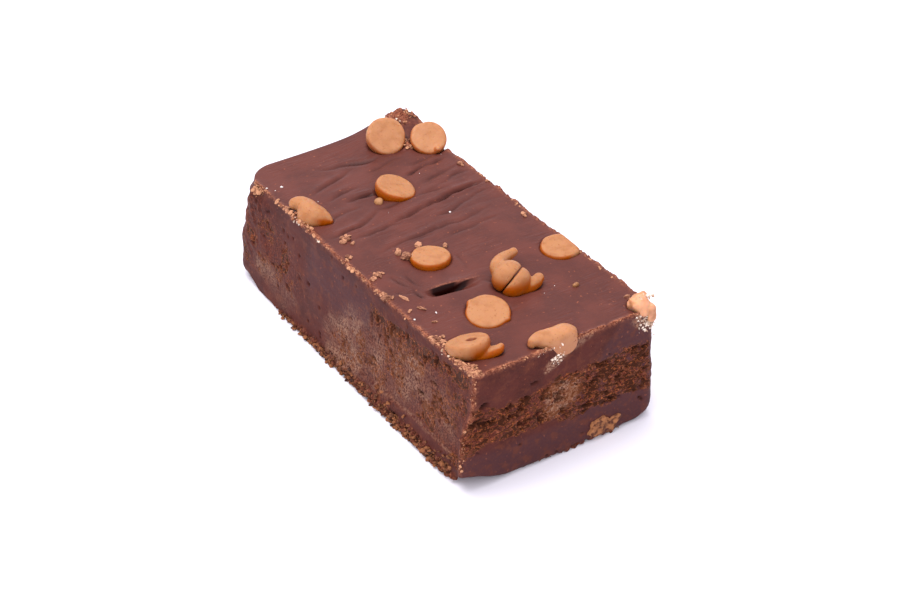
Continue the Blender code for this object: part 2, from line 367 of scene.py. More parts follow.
def smooth_step(low: float | Array, high: float | Array, value: Array) -> Array:
    """0 below low, 1 above high, with a smooth ramp between."""
    ramp = np.clip((value - low) / (high - low), 0.0, 1.0)
    return ramp * ramp * (3.0 - 2.0 * ramp)


def plateau(rise: Sequence[float | Array], fall: Sequence[float | Array], value: Array) -> Array:
    """1 on a stretch that starts over the rise and ends over the fall, 0 beyond them."""
    return smooth_step(*rise, value) * (1.0 - smooth_step(*fall, value))


def on_plane(x: Array, y: Array) -> Array:
    """Rows of x, y and a height of 0."""
    return np.column_stack([x, y, np.zeros_like(x)])


def bell(distance: Array, width: float) -> Array:
    """1 at no distance, fading to nothing over about two widths."""
    return np.exp(-(distance / width) ** 2)


def make_piece(name: str, points: Array, faces: Iterable[Sequence[int]],
               smooth: bool = True) -> bpy.types.Object:
    """Make a mesh object from points in millimetres and ride it on the bar.

    Args:
        name: the piece's name.
        points: rows of x, y, z in millimetres.
        faces: corner numbers of each face.
        smooth: whether faces are shaded smooth.

    Returns:
        The new object.
    """
    mesh = bpy.data.meshes.new(name)
    mesh.from_pydata((np.asarray(points) * MM).tolist(), [], [list(face) for face in faces])
    if smooth:
        mesh.shade_smooth()
    mesh.update()
    piece = bpy.data.objects.new(name, mesh)
    bpy.context.scene.collection.objects.link(piece)
    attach(piece, BODY)
    return piece


def paint(piece: bpy.types.Object, masks: dict[str, Array]) -> None:
    """Store one number for each point of a piece under each mask's name."""
    for name, values in masks.items():
        layer = piece.data.attributes.new(name, "FLOAT", "POINT")
        layer.data.foreach_set("value", np.asarray(values, dtype=np.float32))


# ---------------- the bar's form


@dataclass(frozen=True)
class Fold:
    """A crease across the top skin, with a low lip on its far side.

    Attributes:
        start: one end, in plan.
        end: the other end.
        bow: how far the middle bends sideways.
        depth: depth of the groove.
        width: half width of the groove.
        lip: height of the lip, as a share of the depth.
    """

    start: tuple[float, float]
    end: tuple[float, float]
    bow: float
    depth: float
    width: float
    lip: float = 0.5

    def place(self, x: Array, y: Array) -> tuple[Array, Array]:
        """Share of the way along the fold, and distance across it, of each point."""
        start, end = np.array(self.start), np.array(self.end)
        run = end - start
        length = float(np.linalg.norm(run))
        run = run / length
        along = ((x - start[0]) * run[0] + (y - start[1]) * run[1]) / length
        across = (y - start[1]) * run[0] - (x - start[0]) * run[1]
        return along, across - self.bow * 4.0 * along * (1.0 - along)

    def height(self, x: Array, y: Array) -> Array:
        """Height the fold adds at each point."""
        along, across = self.place(x, y)
        groove = np.exp(-np.abs(across) / self.width)
        near, far = bell(across + 1.3, 0.9), bell(across - 1.2, 0.9)
        return self.fade(along) * self.depth * (self.lip * (0.3 * near + 0.7 * far) - 0.75 * groove)

    def fade(self, along: Array) -> Array:
        """Strength along the fold: none at its ends, uneven between them."""
        uneven = 0.72 + 0.28 * np.sin(8.0 * along + 3.0 * self.start[0])
        return plateau((-0.03, 0.25), (0.75, 1.03), along) * uneven


@dataclass(frozen=True)
class Pit:
    """A hole in a cut face: place and half sizes on the face, depth and slant."""

    along: float
    up: float
    half_along: float
    half_up: float
    depth: float
    slant: float = 0.0

    def shape(self, along: Array, up: Array) -> Array:
        """Share of the pit's depth at each point."""
        turn = math.radians(self.slant)
        a = (along - self.along) * math.cos(turn) + (up - self.up) * math.sin(turn)
        b = (up - self.up) * math.cos(turn) - (along - self.along) * math.sin(turn)
        reach = np.hypot(a / self.half_along, b / self.half_up)
        return 1.0 - smooth_step(0.45, 1.15, reach)


@dataclass(frozen=True)
class Zone:
    """A stretch of a cut face between two heights that change along it.

    Attributes:
        along: stations along the face.
        low: lower edge at each station.
        high: upper edge at each station.
        soft: width of the fading edge.
        strength: weight inside.
    """

    along: tuple[float, ...]
    low: tuple[float, ...]
    high: tuple[float, ...]
    soft: float = 1.2
    strength: float = 1.0

    def weight(self, along: Array, up: Array) -> Array:
        """How much each point is in the zone, from 0 to its strength."""
        low = np.interp(along, self.along, self.low)
        high = np.interp(along, self.along, self.high)
        first, last = self.along[0], self.along[-1]
        inside = plateau((low - self.soft, low + self.soft), (high - self.soft, high + self.soft), up)
        ends = plateau((first - self.soft, first + self.soft), (last - self.soft, last + self.soft), along)
        return self.strength * inside * ends

    def brink(self, along: Array, up: Array) -> Array:
        """A row just under the upper edge, where the torn holes are closest together."""
        high = np.interp(along, self.along, self.high)
        first, last = self.along[0], self.along[-1]
        ends = plateau((first, first + 2.0), (last - 1.0, last + 0.5), along)
        return ends * bell(high - 1.4 - up, 1.2)


class Side(Enum):
    """The four walls of the bar."""

    LEFT = 0
    RIGHT = 1
    FRONT = 2
    BACK = 3


@dataclass
class BarForm:
    """Overall form of the bar, the same as the solid it stands for."""

    width: float = 50.6
    length: float = 105.6
    height: float = 29.4
    flare_left: float = 2.4
    flare_right: float = 1.1
    flare_front: float = 1.1
    flare_back: float = 3.4
    side_round: float = 0.6
    front_round: float = 1.9
    back_round: float = 4.0
    right_corner_round: float = 2.2
    corner_lift: float = 4.1
    corner_span: tuple[float, float] = (10.5, 12.0)
    back_roll: float = 0.05
    back_roll_width: float = 6.0
    peak_height: float = 3.6
    peak_place: tuple[float, float] = (20.5, 47.5)
    peak_span: tuple[float, float] = (11.0, 7.5)
    corners: dict[tuple[int, int], tuple[float, float]] = field(default_factory=lambda: {
        (-1, -1): (1.6, 0.5), (1, -1): (2.5, 1.2), (-1, 1): (4.0, 7.5), (1, 1): (4.0, 3.0)})

    def plan(self, u: Array, v: Array, level: Array | float, inset: Array | float) -> tuple[Array, Array]:
        """Place unit grid points in plan.

        Args:
            u: across the bar, -1 to 1.
            v: along the bar, -1 to 1.
            level: 0 at the base, 1 at the top.
            inset: distance in from the outline.

        Returns:
            x and y of each point.
        """
        left = -self.width / 2.0 + self.flare_left * level + inset
        right = self.width / 2.0 - self.flare_right * level - inset
        front = -self.length / 2.0 + self.flare_front * level + inset
        back = self.length / 2.0 - self.flare_back * level ** 2 - inset
        x = left + (right - left) * (u + 1.0) / 2.0
        y = front + (back - front) * (v + 1.0) / 2.0
        for (side_x, side_y), (base_radius, top_radius) in self.corners.items():
            radius = np.maximum(base_radius + (top_radius - base_radius) * level - inset, 0.3)
            centre_x = (right if side_x > 0 else left) - side_x * radius
            centre_y = (back if side_y > 0 else front) - side_y * radius
            out_x = side_x * (x - centre_x)
            out_y = side_y * (y - centre_y)
            inside = (out_x > 0.0) & (out_y > 0.0)
            pull = np.maximum(out_x, out_y) / np.maximum(np.hypot(out_x, out_y), 1e-9)
            x = np.where(inside, centre_x + side_x * out_x * pull, x)
            y = np.where(inside, centre_y + side_y * out_y * pull, y)
        return x, y

    def gaps(self, points: Array, highest: float = 1.0) -> Array:
        """How far each point lies inside each of the four walls.

        Args:
            points: rows of x, y, z.
            highest: how far up the walls go on leaning, in heights of the bar.

        Returns:
            One row for each wall, in the order of Side.
        """
        x, y, z = points.T
        level = np.clip(z / self.height, 0.0, highest)
        return np.stack([x + self.width / 2.0 - self.flare_left * level,
                         self.width / 2.0 - self.flare_right * level - x,
                         y + self.length / 2.0 - self.flare_front * level,
                         self.length / 2.0 - self.flare_back * level ** 2 - y])

    def rounding(self, x: Array, y: Array) -> Array:
        """Radius of the rounding under the bar at each place on its outline."""
        front = 1.0 - smooth_step(-self.length / 2.0, -self.length / 2.0 + 5.0, y)
        back = smooth_step(self.length / 2.0 - 12.0, self.length / 2.0 - 4.0, y)
        right = smooth_step(self.width / 2.0 - 5.0, self.width / 2.0, x)
        radius = self.side_round + (self.front_round - self.side_round) * front
        radius = radius + (self.back_round - self.side_round) * back
        return radius + self.right_corner_round * right * front

    def lift(self, x: Array, y: Array) -> Array:
        """How far the foot of the outline is lifted at the front left corner."""
        from_x = (x + self.width / 2.0) / self.corner_span[0]
        from_y = (y + self.length / 2.0) / self.corner_span[1]
        return self.corner_lift * np.clip(1.0 - np.hypot(from_x, from_y), 0.0, 1.0) ** 1.5

    def top_form(self, x: Array, y: Array) -> Array:
        """Height of the top over its nominal level, without folds."""
        back = self.length / 2.0 - self.flare_back
        roll = self.back_roll * smooth_step(back - self.back_roll_width, back, y) ** 2
        reach = ((x - self.peak_place[0]) / self.peak_span[0]) ** 2
        reach = reach + ((y - self.peak_place[1]) / self.peak_span[1]) ** 2
        return (self.peak_height + roll) * np.exp(-reach) - roll


@dataclass
class TopSkin:
    """Folds, wrinkles, the split and the seats of the chips in the poured top."""

    form: BarForm
    chips: tuple["Chip", ...]
    folds: tuple[Fold, ...] = (
        Fold((-5.6, 8.0), (25.4, 13.8), 1.5, 2.0, 0.42, 0.3),
        Fold((-21.4, 11.4), (-4.0, 15.2), -1.0, 0.8, 0.4),
        Fold((-6.0, 15.0), (16.0, 16.4), 0.9, 0.5, 0.4, 0.3),
        Fold((-17.4, 7.4), (0.6, 7.6), 0.5, 0.5, 0.4),
        Fold((-17.4, 0.2), (20.6, 3.2), -0.7, 0.55, 0.4),
        Fold((-9.4, -1.0), (3.0, -0.2), 0.3, 0.35, 0.4),
        Fold((8.4, 25.6), (22.0, 28.4), 0.4, 0.9, 0.4, 0.3),
        Fold((10.0, 21.0), (24.0, 23.4), 0.3, 0.5, 0.4, 0.3),
        Fold((-9.4, 23.8), (0.4, 22.6), 0.4, 1.5, 0.45, 0.3),
        Fold((-7.4, 40.6), (9.6, 36.8), -0.9, 0.8, 0.42, 0.3),
        Fold((-15.4, 30.2), (0.6, 37.0), -0.6, 0.6, 0.45),
        Fold((1.6, 31.4), (14.0, 33.8), 0.5, 0.4, 0.4, 0.3),
        Fold((-13.4, 26.0), (-2.4, 27.6), 0.4, 0.5, 0.4),
        Fold((4.0, 4.8), (24.0, 9.6), 0.5, 0.5, 0.4, 0.3),
        Fold((9.0, 17.2), (24.5, 20.0), 0.3, 0.45, 0.4, 0.3),
        Fold((12.0, 29.6), (21.0, 31.6), -0.3, 0.35, 0.4, 0.3),
        Fold((-19.0, 18.0), (-7.0, 20.0), 0.6, 0.4, 0.4),
        Fold((2.0, -3.4), (18.0, -1.2), 0.5, 0.35, 0.4),
        Fold((-15.6, -16.4), (-17.6, -9.6), 0.3, 0.6, 0.42),
        Fold((-13.6, -17.4), (-14.2, -10.8), 0.4, 0.5, 0.4),
        Fold((-1.4, -17.6), (-0.2, -9.8), -0.4, 0.3, 0.4),
        Fold((-16.4, -18.6), (-20.0, -15.6), 0.3, 0.4, 0.4),
        Fold((-15.2, -22.4), (-15.8, -16.4), 0.5, 0.8, 0.42),
        Fold((-1.0, -22.0), (2.6, -24.6), -0.2, 0.5, 0.4, 0.2),
    )
    split: Fold = Fold((-14.4, -19.6), (1.2, -22.6), -0.2, 2.8, 1.2)
    wrinkle_size: tuple[float, float, float] = (14.0, 2.0, 50.0)
    wrinkle_height: float = 0.11
    swell_height: float = 0.22

    def wrinkle_weight(self, x: Array, y: Array) -> Array:
        """Where the skin is wrinkled: most on the right, far from the front."""
        band = plateau((-4.0, 6.0), (36.0, 48.0), y)
        right = 0.35 + 0.65 * smooth_step(-6.0, 10.0, x)
        return 0.08 + 0.92 * band * right

    def height(self, x: Array, y: Array) -> Array:
        """Work out the skin's relief.

        Args:
            x: across the bar.
            y: along the bar.

        Returns:
            Height over the top's nominal level.
        """
        points = on_plane(x, y)
        slanted = points.copy()
        slanted[:, 1] += 1.6 * Lattice.value(points, 9.0, 11) - 0.08 * x
        ridged = 1.0 - np.abs(Lattice.value(slanted, self.wrinkle_size, 5))
        fine = 1.0 - np.abs(Lattice.value(slanted, np.array(self.wrinkle_size) * 0.5, 6))
        wrinkles = self.wrinkle_height * (0.6 * (ridged ** 5 - 0.35) + 0.4 * (fine ** 5 - 0.35))
        relief = self.form.top_form(x, y) - self.wrinkle_weight(x, y) * wrinkles
        relief = relief + self.swell_height * Lattice.value(points, 13.0, 3)
        bent_x, bent_y = self.bent(x, y)
        for fold in self.folds:
            relief = relief + fold.height(bent_x, bent_y)
        relief = relief + self.split_height(x, y)
        for chip in self.chips:
            relief = chip.seat(x, y, relief, self.form)
        return relief

    @staticmethod
    def bent(x: Array, y: Array) -> tuple[Array, Array]:
        """Places moved a little, so that the folds run unevenly."""
        points = on_plane(x, y)
        return x, y + 0.7 * Lattice.value(points, 5.0, 15) + 0.25 * Lattice.value(points, 2.0, 16)

    @staticmethod
    def split_fade(along: Array) -> Array:
        """How open the split is along its length."""
        return plateau((-0.04, 0.34), (0.22, 0.95), along)

    @staticmethod
    def split_curl(along: Array) -> Array:
        """How far the split's far edge comes forward towards its left end."""
        return 0.8 * (1.0 - smooth_step(-0.05, 0.36, along))

    def split_place(self, x: Array, y: Array) -> tuple[Array, Array]:
        """Place along and across the split, from its curled line."""
        along, across = self.split.place(x, y)
        return along, across + self.split_curl(along)

    def split_height(self, x: Array, y: Array) -> Array:
        """The split: a slope down from the near side to a steep far wall under a raised lip."""
        along, across = self.split_place(x, y)
        half, fade = self.split.width, self.split_fade(along)
        slope = smooth_step(-2.6, 0.5 * half, across) ** 1.7
        wall = 1.0 - smooth_step(0.85 * half, 1.15 * half, across)
        lip = bell(across - half - 0.9, 1.3)
        return fade ** 0.8 * (-self.split.depth * slope * wall + 0.5 * lip)

    def split_lean(self, x: Array, y: Array) -> Array:
        """How far each point of the split's far lip leans forward over the hollow."""
        along, across = self.split_place(x, y)
        half = self.split.width
        far = 1.0 - smooth_step(half + 0.3, half + 4.2, across)
        return 0.5 * self.split_fade(along) * smooth_step(0.7 * half, 1.1 * half, across) * far

    def split_follow(self, x: Array, y: Array) -> Array:
        """Shift along the bar that lines the mesh up with the split and packs it closer there."""
        share = np.clip((x - self.split.start[0]) / (self.split.end[0] - self.split.start[0]), -0.2, 1.2)
        line = self.split.start[1] + share * (self.split.end[1] - self.split.start[1])
        line = line + self.split.bow * 4.0 * share * (1.0 - share) - self.split_curl(share)
        middle = (self.split.start[1] + self.split.end[1]) / 2.0
        reach = plateau((-19.0, -14.0), (-1.0, 5.0), x)
        return reach * bell(y - middle, 3.8) * (line - middle - 0.5 * (y - middle))

    def split_lip_highlight(self, x: Array, y: Array) -> Array:
        """Mask of the painted highlight, a thin reddish line along the edge over the split."""
        along, across = self.split_place(x, y)
        edge = bell(across - 1.5 * self.split.width, 0.3)
        return 0.45 * edge * plateau((0.02, 0.2), (0.6, 1.0), along)

    def creased(self, x: Array, y: Array) -> Array:
        """Find where painted shade goes in the deep creases and the split's hollow.

        Args:
            x: across the bar.
            y: along the bar.

        Returns:
            How much of each point is shaded crease, from 0 to 1.
        """
        bent_x, bent_y = self.bent(x, y)
        deep = np.zeros_like(x)
        for fold in self.folds:
            along, across = fold.place(bent_x, bent_y)
            deep = np.maximum(deep, fold.fade(along) * min(fold.depth, 1.0) * bell(across, 0.42))
        along, across = self.split_place(x, y)
        fade, half = self.split_fade(along), self.split.width
        start = half * (1.2 - 1.9 * fade)
        hollow = plateau((start, start + 0.7), (1.2 * half, 1.36 * half), across)
        return np.clip(np.maximum(0.9 * deep, 2.6 * fade * hollow), 0.0, 1.0)


@dataclass
class CutFaces:
    """Relief and masks of the four walls."""

    form: BarForm
    crumb_zones: dict[Side, tuple[Zone, ...]] = field(default_factory=lambda: {
        Side.LEFT: (
            Zone((-51.0, -40.0, -25.0, -10.5), (5.0, 7.0, 8.0, 12.0), (28.5, 27.0, 25.3, 24.6), 0.9, 0.6),
            Zone((-24.0, -12.0, 6.0), (1.0, 1.5, 2.0), (14.0, 17.0, 10.0), 2.5, 0.4),
            Zone((20.0, 32.0, 50.0), (9.0, 7.0, 5.0), (15.0, 24.0, 29.0), 3.0, 0.55),
        ),
        Side.FRONT: (
            Zone((-27.0, -20.0, -5.0, 5.0, 24.0), (9.5, 11.0, 11.5, 8.5, 9.0),
                 (24.0, 20.0, 20.0, 21.0, 20.8), 0.7),
        ),
        Side.RIGHT: (
            Zone((-50.0, -20.0, 20.0, 46.0), (9.0, 7.0, 9.0, 12.0), (20.0, 24.0, 22.0, 20.0)),
        ),
        Side.BACK: (Zone((-16.0, 0.0, 20.0), (6.0, 9.0, 7.0), (13.0, 17.0, 20.0), 2.0, 0.6),),
    })
    pits: dict[Side, tuple[Pit, ...]] = field(default_factory=lambda: {
        Side.LEFT: (
            Pit(-37.5, 19.5, 1.0, 0.5, 1.2), Pit(-32.5, 14.2, 1.2, 0.5, 1.1),
            Pit(-13.4, 11.6, 0.9, 0.4, 1.0), Pit(-11.5, 21.5, 0.45, 2.1, 1.3, -8.0),
            Pit(-14.0, 22.3, 0.5, 1.7, 1.4, -12.0), Pit(-17.0, 20.6, 0.5, 1.6, 1.1, -15.0),
            Pit(-19.5, 23.0, 0.5, 1.3, 1.1, -10.0), Pit(36.6, 21.8, 0.7, 0.5, 1.0),
            Pit(34.0, 11.5, 0.7, 0.5, 1.0), Pit(26.4, 9.0, 0.9, 0.6, 1.2, 30.0),
            Pit(16.8, 15.0, 0.8, 0.4, 1.0), Pit(30.0, 12.5, 0.9, 0.4, 1.0), Pit(43.0, 13.0, 0.6, 0.4, 0.9),
        ),
        Side.FRONT: (
            Pit(-7.6, 22.0, 1.1, 0.35, 1.2, 4.0), Pit(-0.6, 19.5, 1.2, 0.35, 1.3, -4.0),
            Pit(-6.6, 13.6, 1.3, 0.35, 1.1), Pit(6.6, 17.8, 0.45, 0.6, 1.3),
            Pit(6.2, 10.8, 1.5, 0.35, 1.2, 8.0), Pit(21.0, 6.3, 0.5, 0.4, 1.0),
            Pit(-20.6, 21.4, 1.3, 0.6, 1.2, 10.0),
            Pit(-14.6, 18.6, 0.9, 0.3, 1.1), Pit(-9.6, 19.0, 1.0, 0.3, 1.0), Pit(13.2, 9.8, 1.2, 0.35, 1.0),
        ),
    })

    def relief(self, side: Side, along: Array, up: Array, points: Array) -> dict[str, Array]:
        """Relief and masks of one wall.

        Args:
            side: which wall.
            along: place along the wall of each point.
            up: height of each point.
            points: the points themselves.

        Returns:
            "out", how far each point stands out, and masks from 0 to 1.
        """
        warp_a = 1.5 * Lattice.fractal(points, 5.0, 21) + 0.8 * Lattice.value(points, 1.5, 24)
        warp_b = 1.1 * Lattice.fractal(points, 4.0, 22) + 0.7 * Lattice.value(points, 1.3, 25)
        crumb = np.zeros(len(points))
        for zone in self.crumb_zones.get(side, ()):
            crumb = np.maximum(crumb, zone.weight(along + warp_a, up + warp_b))
        patchy = smooth_step(-0.45, 0.1, Lattice.fractal(points, 2.6, 27))
        crumb = crumb * (0.55 + 0.45 * patchy)
        size = (4.0, 4.0, 5.0) if side is Side.LEFT else (7.0, 7.0, 2.2)
        gathered = smooth_step(-0.2, 0.3, Lattice.fractal(points, size, 29, 2))
        holey = crumb * ((0.1 + 0.9 * gathered) if side is Side.LEFT else (0.45 + 0.55 * gathered))
        if side is Side.LEFT:
            main = self.crumb_zones[side][0]
            holey = np.maximum(holey, main.brink(along + 0.4 * warp_a, up + 0.6 * warp_b))

        fringe = self.fringe(side, along, up, warp_b)
        crumb = np.maximum(crumb, fringe)
        lump_near, lump_second, _ = Lattice.cells(points, (1.9, 1.9, 1.3), 41)
        small_near, _, _ = Lattice.cells(points, 0.9, 47)
        gaps = 1.0 - smooth_step(0.02, 0.3, lump_second - lump_near)
        slit_size = (1.3, 1.3, 1.6) if side is Side.LEFT else (2.8, 2.8, 1.0)
        slits = Lattice.fractal(points + 0.5 * Lattice.value(points, 1.6, 53)[:, None], slit_size, 51, 3)
        hollow = smooth_step(0.26, 0.38, slits + 0.12 * (holey - 0.6))
        ridge = smooth_step(0.1, 0.24, slits) * (1.0 - hollow)
        out = holey * (0.16 * ridge - 0.85 * hollow) + crumb * 0.16 * (0.5 - small_near)
        out = out + fringe * (0.6 + 1.1 * (0.5 - lump_near) - 0.7 * gaps + 0.3 * (0.5 - small_near))
        # Painted shade in the hollows, in the gaps between the pressed-out crumbs and faintly under them.
        pit_shade = np.clip(0.9 * holey * hollow, 0.0, 1.0)
        pit_shade = np.maximum(pit_shade, fringe * (0.2 + 0.7 * gaps))
        # Small round pits, sunk and given painted shade.
        speck_near, _, speck_label = Lattice.cells(points, (1.5, 1.5, 1.25), 57)
        speck = np.where(speck_label < 0.04 + 0.12 * crumb, 1.0 - smooth_step(0.16, 0.36, speck_near), 0.0)
        out = out - 0.45 * speck
        pit_shade = np.maximum(pit_shade, speck)
        # The listed holes, sunk and given painted shade.
        for hole in self.pits.get(side, ()):
            reach = hole.shape(along + 0.35 * warp_b, up + 0.35 * warp_a)
            out = out - hole.depth * reach
            pit_shade = np.maximum(pit_shade, reach)
        streaks = 0.07 * Lattice.fractal(points, (8.0, 8.0, 0.8), 61) + 0.2 * Lattice.value(points, 6.0, 63)
        if side is Side.LEFT:
            out = out + self.ledge(along, up + 0.5 * warp_b) + self.far_bulge(along, up, points)
        return {"out": out + (1.0 - crumb) * streaks, "crumb": crumb, "pit_shade": pit_shade, "holey": holey,
                # burr: torn colour on the ridges beside the hollows and on the pressed-out lumps, partly a
                # painted highlight.
                "burr": np.maximum(0.5 * holey * ridge, 0.35 * fringe * (1.0 - gaps))}

    @staticmethod
    def ledge_height(along: Array) -> Array:
        """Height of the low step along the left face."""
        return np.interp(along, (-50.0, -30.0, -10.0, 10.0), (6.2, 6.6, 5.4, 4.0))

    @classmethod
    def ledge(cls, along: Array, up: Array) -> Array:
        """A low step where the foot of the left face was pressed outwards."""
        height = cls.ledge_height(along)
        ends = plateau((-52.0, -46.0), (-6.0, 14.0), along)
        return 0.45 * ends * (1.0 - smooth_step(height - 0.5, height + 0.5, up))

    @staticmethod
    def far_bulge(along: Array, up: Array, points: Array) -> Array:
        """The uneven swelling of the left face near its far end."""
        span = smooth_step(34.0, 42.0, along) * plateau((6.0, 14.0), (25.5, 28.0), up)
        return span * (0.55 + 0.7 * Lattice.fractal(points, (2.6, 2.6, 3.2), 65))

    def fringe(self, side: Side, along: Array, up: Array, warp: Array) -> Array:
        """Find the crumbs pressed out along the foot of the left and front faces.

        Args:
            side: which wall.
            along: place along the wall of each point.
            up: height of each point.
            warp: how far the upper edge wanders at each point.

        Returns:
            How much of each point is crumb, from 0 to 1.
        """
        if side is Side.LEFT:
            top = np.interp(along, (-51.0, -47.0, -35.0, -5.0, 20.0, 34.0), (-0.4, 2.6, 3.4, 2.6, 1.6, 0.2))
        elif side is Side.FRONT:
            top = np.interp(along, (-8.0, 0.0, 14.0, 18.0), (0.0, 1.0, 1.2, 0.0))
        else:
            return np.zeros_like(along)
        return 1.0 - smooth_step(top - 0.4, top + 0.3, up + 0.45 * warp)


MASKS = ("crumb", "pit_shade", "holey", "pale", "smear_and_sheen", "burr", "wall", "front", "crease")


@dataclass(frozen=True)
class MeshPlan:
    """Numbers of faces in the bar's mesh, and where its coarse underside and flat foot start."""

    columns: int = 120
    rows: int = 264
    levels: int = 74
    round_steps: int = 5
    under_step: int = 4
    under_inset: float = 2.0
    flat_foot: float = 0.8


class FudgeBar:
    """The bar of fudge itself, one closed mesh."""

    def __init__(self, form: BarForm, plan: MeshPlan, chips: tuple["Chip", ...]) -> None:
        """Keep the form, the mesh's spacing and the chips set in the top."""
        self.form = form
        self.plan = plan
        self.skin = TopSkin(form, chips)
        self.faces = CutFaces(form)

    def outline(self) -> tuple[Array, Array]:
        """Unit coordinates of the outline's points, in order round the bar."""
        across = np.linspace(-1.0, 1.0, self.plan.columns + 1)
        along = np.linspace(-1.0, 1.0, self.plan.rows + 1)
        ends, sides = np.ones(self.plan.columns), np.ones(self.plan.rows)
        u = np.concatenate([across[:-1], sides, across[:0:-1], -sides])
        v = np.concatenate([-ends, along[:-1], ends, along[:0:-1]])
        return u, v

    def wall_rings(self) -> Array:
        """Rings of points from under the top edge to the start of the flat underside."""
        u, v = self.outline()
        base_x, base_y = self.form.plan(u, v, 0.0, 0.0)
        radius = self.form.rounding(base_x, base_y)
        lift = self.form.lift(base_x, base_y)
        top_x, top_y = self.form.plan(u, v, 1.0, 0.0)
        top_z = self.form.height + self.skin.height(top_x, top_y)
        low_z = lift + radius
        rings = []
        for step in range(1, self.plan.levels):
            z = top_z + (low_z - top_z) * step / self.plan.levels
            x, y = self.form.plan(u, v, z / self.form.height, 0.0)
            rings.append(np.column_stack([x, y, z]))
        for step in range(self.plan.round_steps + 1):
            angle = math.pi / 2.0 * step / (self.plan.round_steps + 1)
            z = lift + radius * (1.0 - math.sin(angle))
            x, y = self.form.plan(u, v, z / self.form.height, radius * (1.0 - math.cos(angle)))
            rings.append(np.column_stack([x, y, z]))
        for share in (0.4, 1.0):
            x, y = self.form.plan(u, v, 0.0, radius + share * (lift * 1.3 + 2.0))
            rings.append(np.column_stack([x, y, lift * (1.0 - share) ** 1.5]))
        return np.array(rings)

    def build(self) -> bpy.types.Object:
        """Make the bar's mesh with its relief and masks.

        Returns:
            The bar.
        """
        columns, rows = self.plan.columns, self.plan.rows
        u, v = np.meshgrid(np.linspace(-1, 1, columns + 1), np.linspace(-1, 1, rows + 1), indexing="ij")
        top_x, top_y = self.form.plan(u.ravel(), v.ravel(), 1.0, 0.0)
        top_y = top_y + self.skin.split_follow(top_x, top_y)
        top_z = self.form.height + self.skin.height(top_x, top_y)
        top = np.column_stack([top_x, top_y, top_z])
        number = np.arange((columns + 1) * (rows + 1)).reshape(columns + 1, rows + 1)
        quads = np.stack([number[:-1, :-1], number[1:, :-1], number[1:, 1:], number[:-1, 1:]], axis=-1)
        faces = quads.reshape(-1, 4).tolist()
        edge = np.concatenate([number[:-1, 0], number[-1, :-1], number[:0:-1, -1], number[0, :0:-1]])

        rings = self.wall_rings()
        ring_count, around = rings.shape[:2]
        first = len(top)
        upper = edge
        for k in range(ring_count):
            lower = first + k * around + np.arange(around)
            band = np.stack([upper, lower, np.roll(lower, -1), np.roll(upper, -1)], axis=-1)
            faces.extend(band.tolist())
            upper = lower
        points = np.vstack([top, rings.reshape(-1, 3)])
        under, under_faces = self.underside(upper, len(points))
        points = np.vstack([points, under])
        faces.extend(under_faces)

        draft = make_piece("fudge_bar", points, faces)
        normals = np.empty(len(points) * 3)
        draft.data.vertices.foreach_get("normal", normals)
        moved, masks = self.displace(points, normals.reshape(-1, 3), len(top))
        draft.data.vertices.foreach_set("co", (moved * MM).ravel())
        draft.data.update()
        paint(draft, masks)
        return draft

    def underside(self, rim: Array, first: int) -> tuple[Array, list[list[int]]]:
        """Flat middle of the underside: a coarse grid sewn to the fine last ring.

        Args:
            rim: numbers of the last ring's points.
            first: number that the first new point gets.

        Returns:
            New points and faces.
        """
        step, across, along = self.plan.under_step, self.plan.columns, self.plan.rows
        columns, rows = across // step, along // step
        inner = [np.linspace(-1, 1, count + 1)[1:-1] for count in (columns, rows)]
        u, v = np.meshgrid(*inner, indexing="ij")
        x, y = self.form.plan(u.ravel(), v.ravel(), 0.0, self.form.back_round + self.plan.under_inset)
        points = on_plane(x, y)

        def number(i: int, j: int) -> int:
            """Number of the point at one fine station: inside the outline, then along each of its sides."""
            if 0 < i < across and 0 < j < along:
                return first + (i // step - 1) * (rows - 1) + j // step - 1
            if j == 0:
                return int(rim[i])
            if i == across:
                return int(rim[across + j])
            if j == along:
                return int(rim[2 * across + along - i])
            return int(rim[2 * (across + along) - j])

        faces = []
        for i in range(columns):
            for j in range(rows):
                loop = []
                sides = ((i, j, 1, 0), (i + 1, j, 0, 1), (i + 1, j + 1, -1, 0), (i, j + 1, 0, -1))
                for a, b, turn_a, turn_b in sides:
                    on_rim = b in (0, rows) if turn_a else a in (0, columns)
                    for k in range(step if on_rim else 1):
                        loop.append(number(a * step + k * turn_a, b * step + k * turn_b))
                faces.append(loop[::-1])
        return points, faces

    def displace(self, points: Array, normals: Array, top_count: int) -> tuple[Array, dict[str, Array]]:
        """Add the relief of the cut faces and the torn edges, and make the masks.

        Args:
            points: the bar's points.
            normals: outward direction at each point.
            top_count: how many of the points belong to the top; they come first.

        Returns:
            The moved points and the masks.
        """
        count = len(points)
        masks = {name: np.zeros(count) for name in MASKS}
        is_wall = np.arange(count) >= top_count
        x, y, z = points.T
        gaps = self.form.gaps(points)
        nearest = np.argmin(gaps, axis=0)
        out = np.zeros(count)
        for side in Side:
            chosen = is_wall & (nearest == side.value)
            along = y[chosen] if side in (Side.LEFT, Side.RIGHT) else x[chosen]
            found = self.faces.relief(side, along, z[chosen], points[chosen])
            out[chosen] = found["out"]
            for name in ("crumb", "pit_shade", "holey", "burr"):
                masks[name][chosen] = found[name]
            masks["front"][chosen] = float(side in (Side.FRONT, Side.BACK))
        masks["wall"][is_wall] = 1.0
        moved = points + normals * (out * smooth_step(0.0, self.plan.flat_foot, z))[:, None]
        moved[:, 2] = np.maximum(moved[:, 2], 0.0)

        top = slice(0, top_count)
        moved[top, 1] -= self.skin.split_lean(x[top], y[top])
        # Painted shade in the creases and the split's hollow.
        masks["crease"][top] = self.skin.creased(x[top], y[top])
        # Painted highlight along the split's lip, carried in the burr mask.
        masks["burr"][top] = self.skin.split_lip_highlight(x[top], y[top])
        TornEdges(self.form, points, moved, masks).tear(gaps)
        Stains().lay(points, masks, {side: is_wall & (nearest == side.value) for side in Side})
        return moved, masks


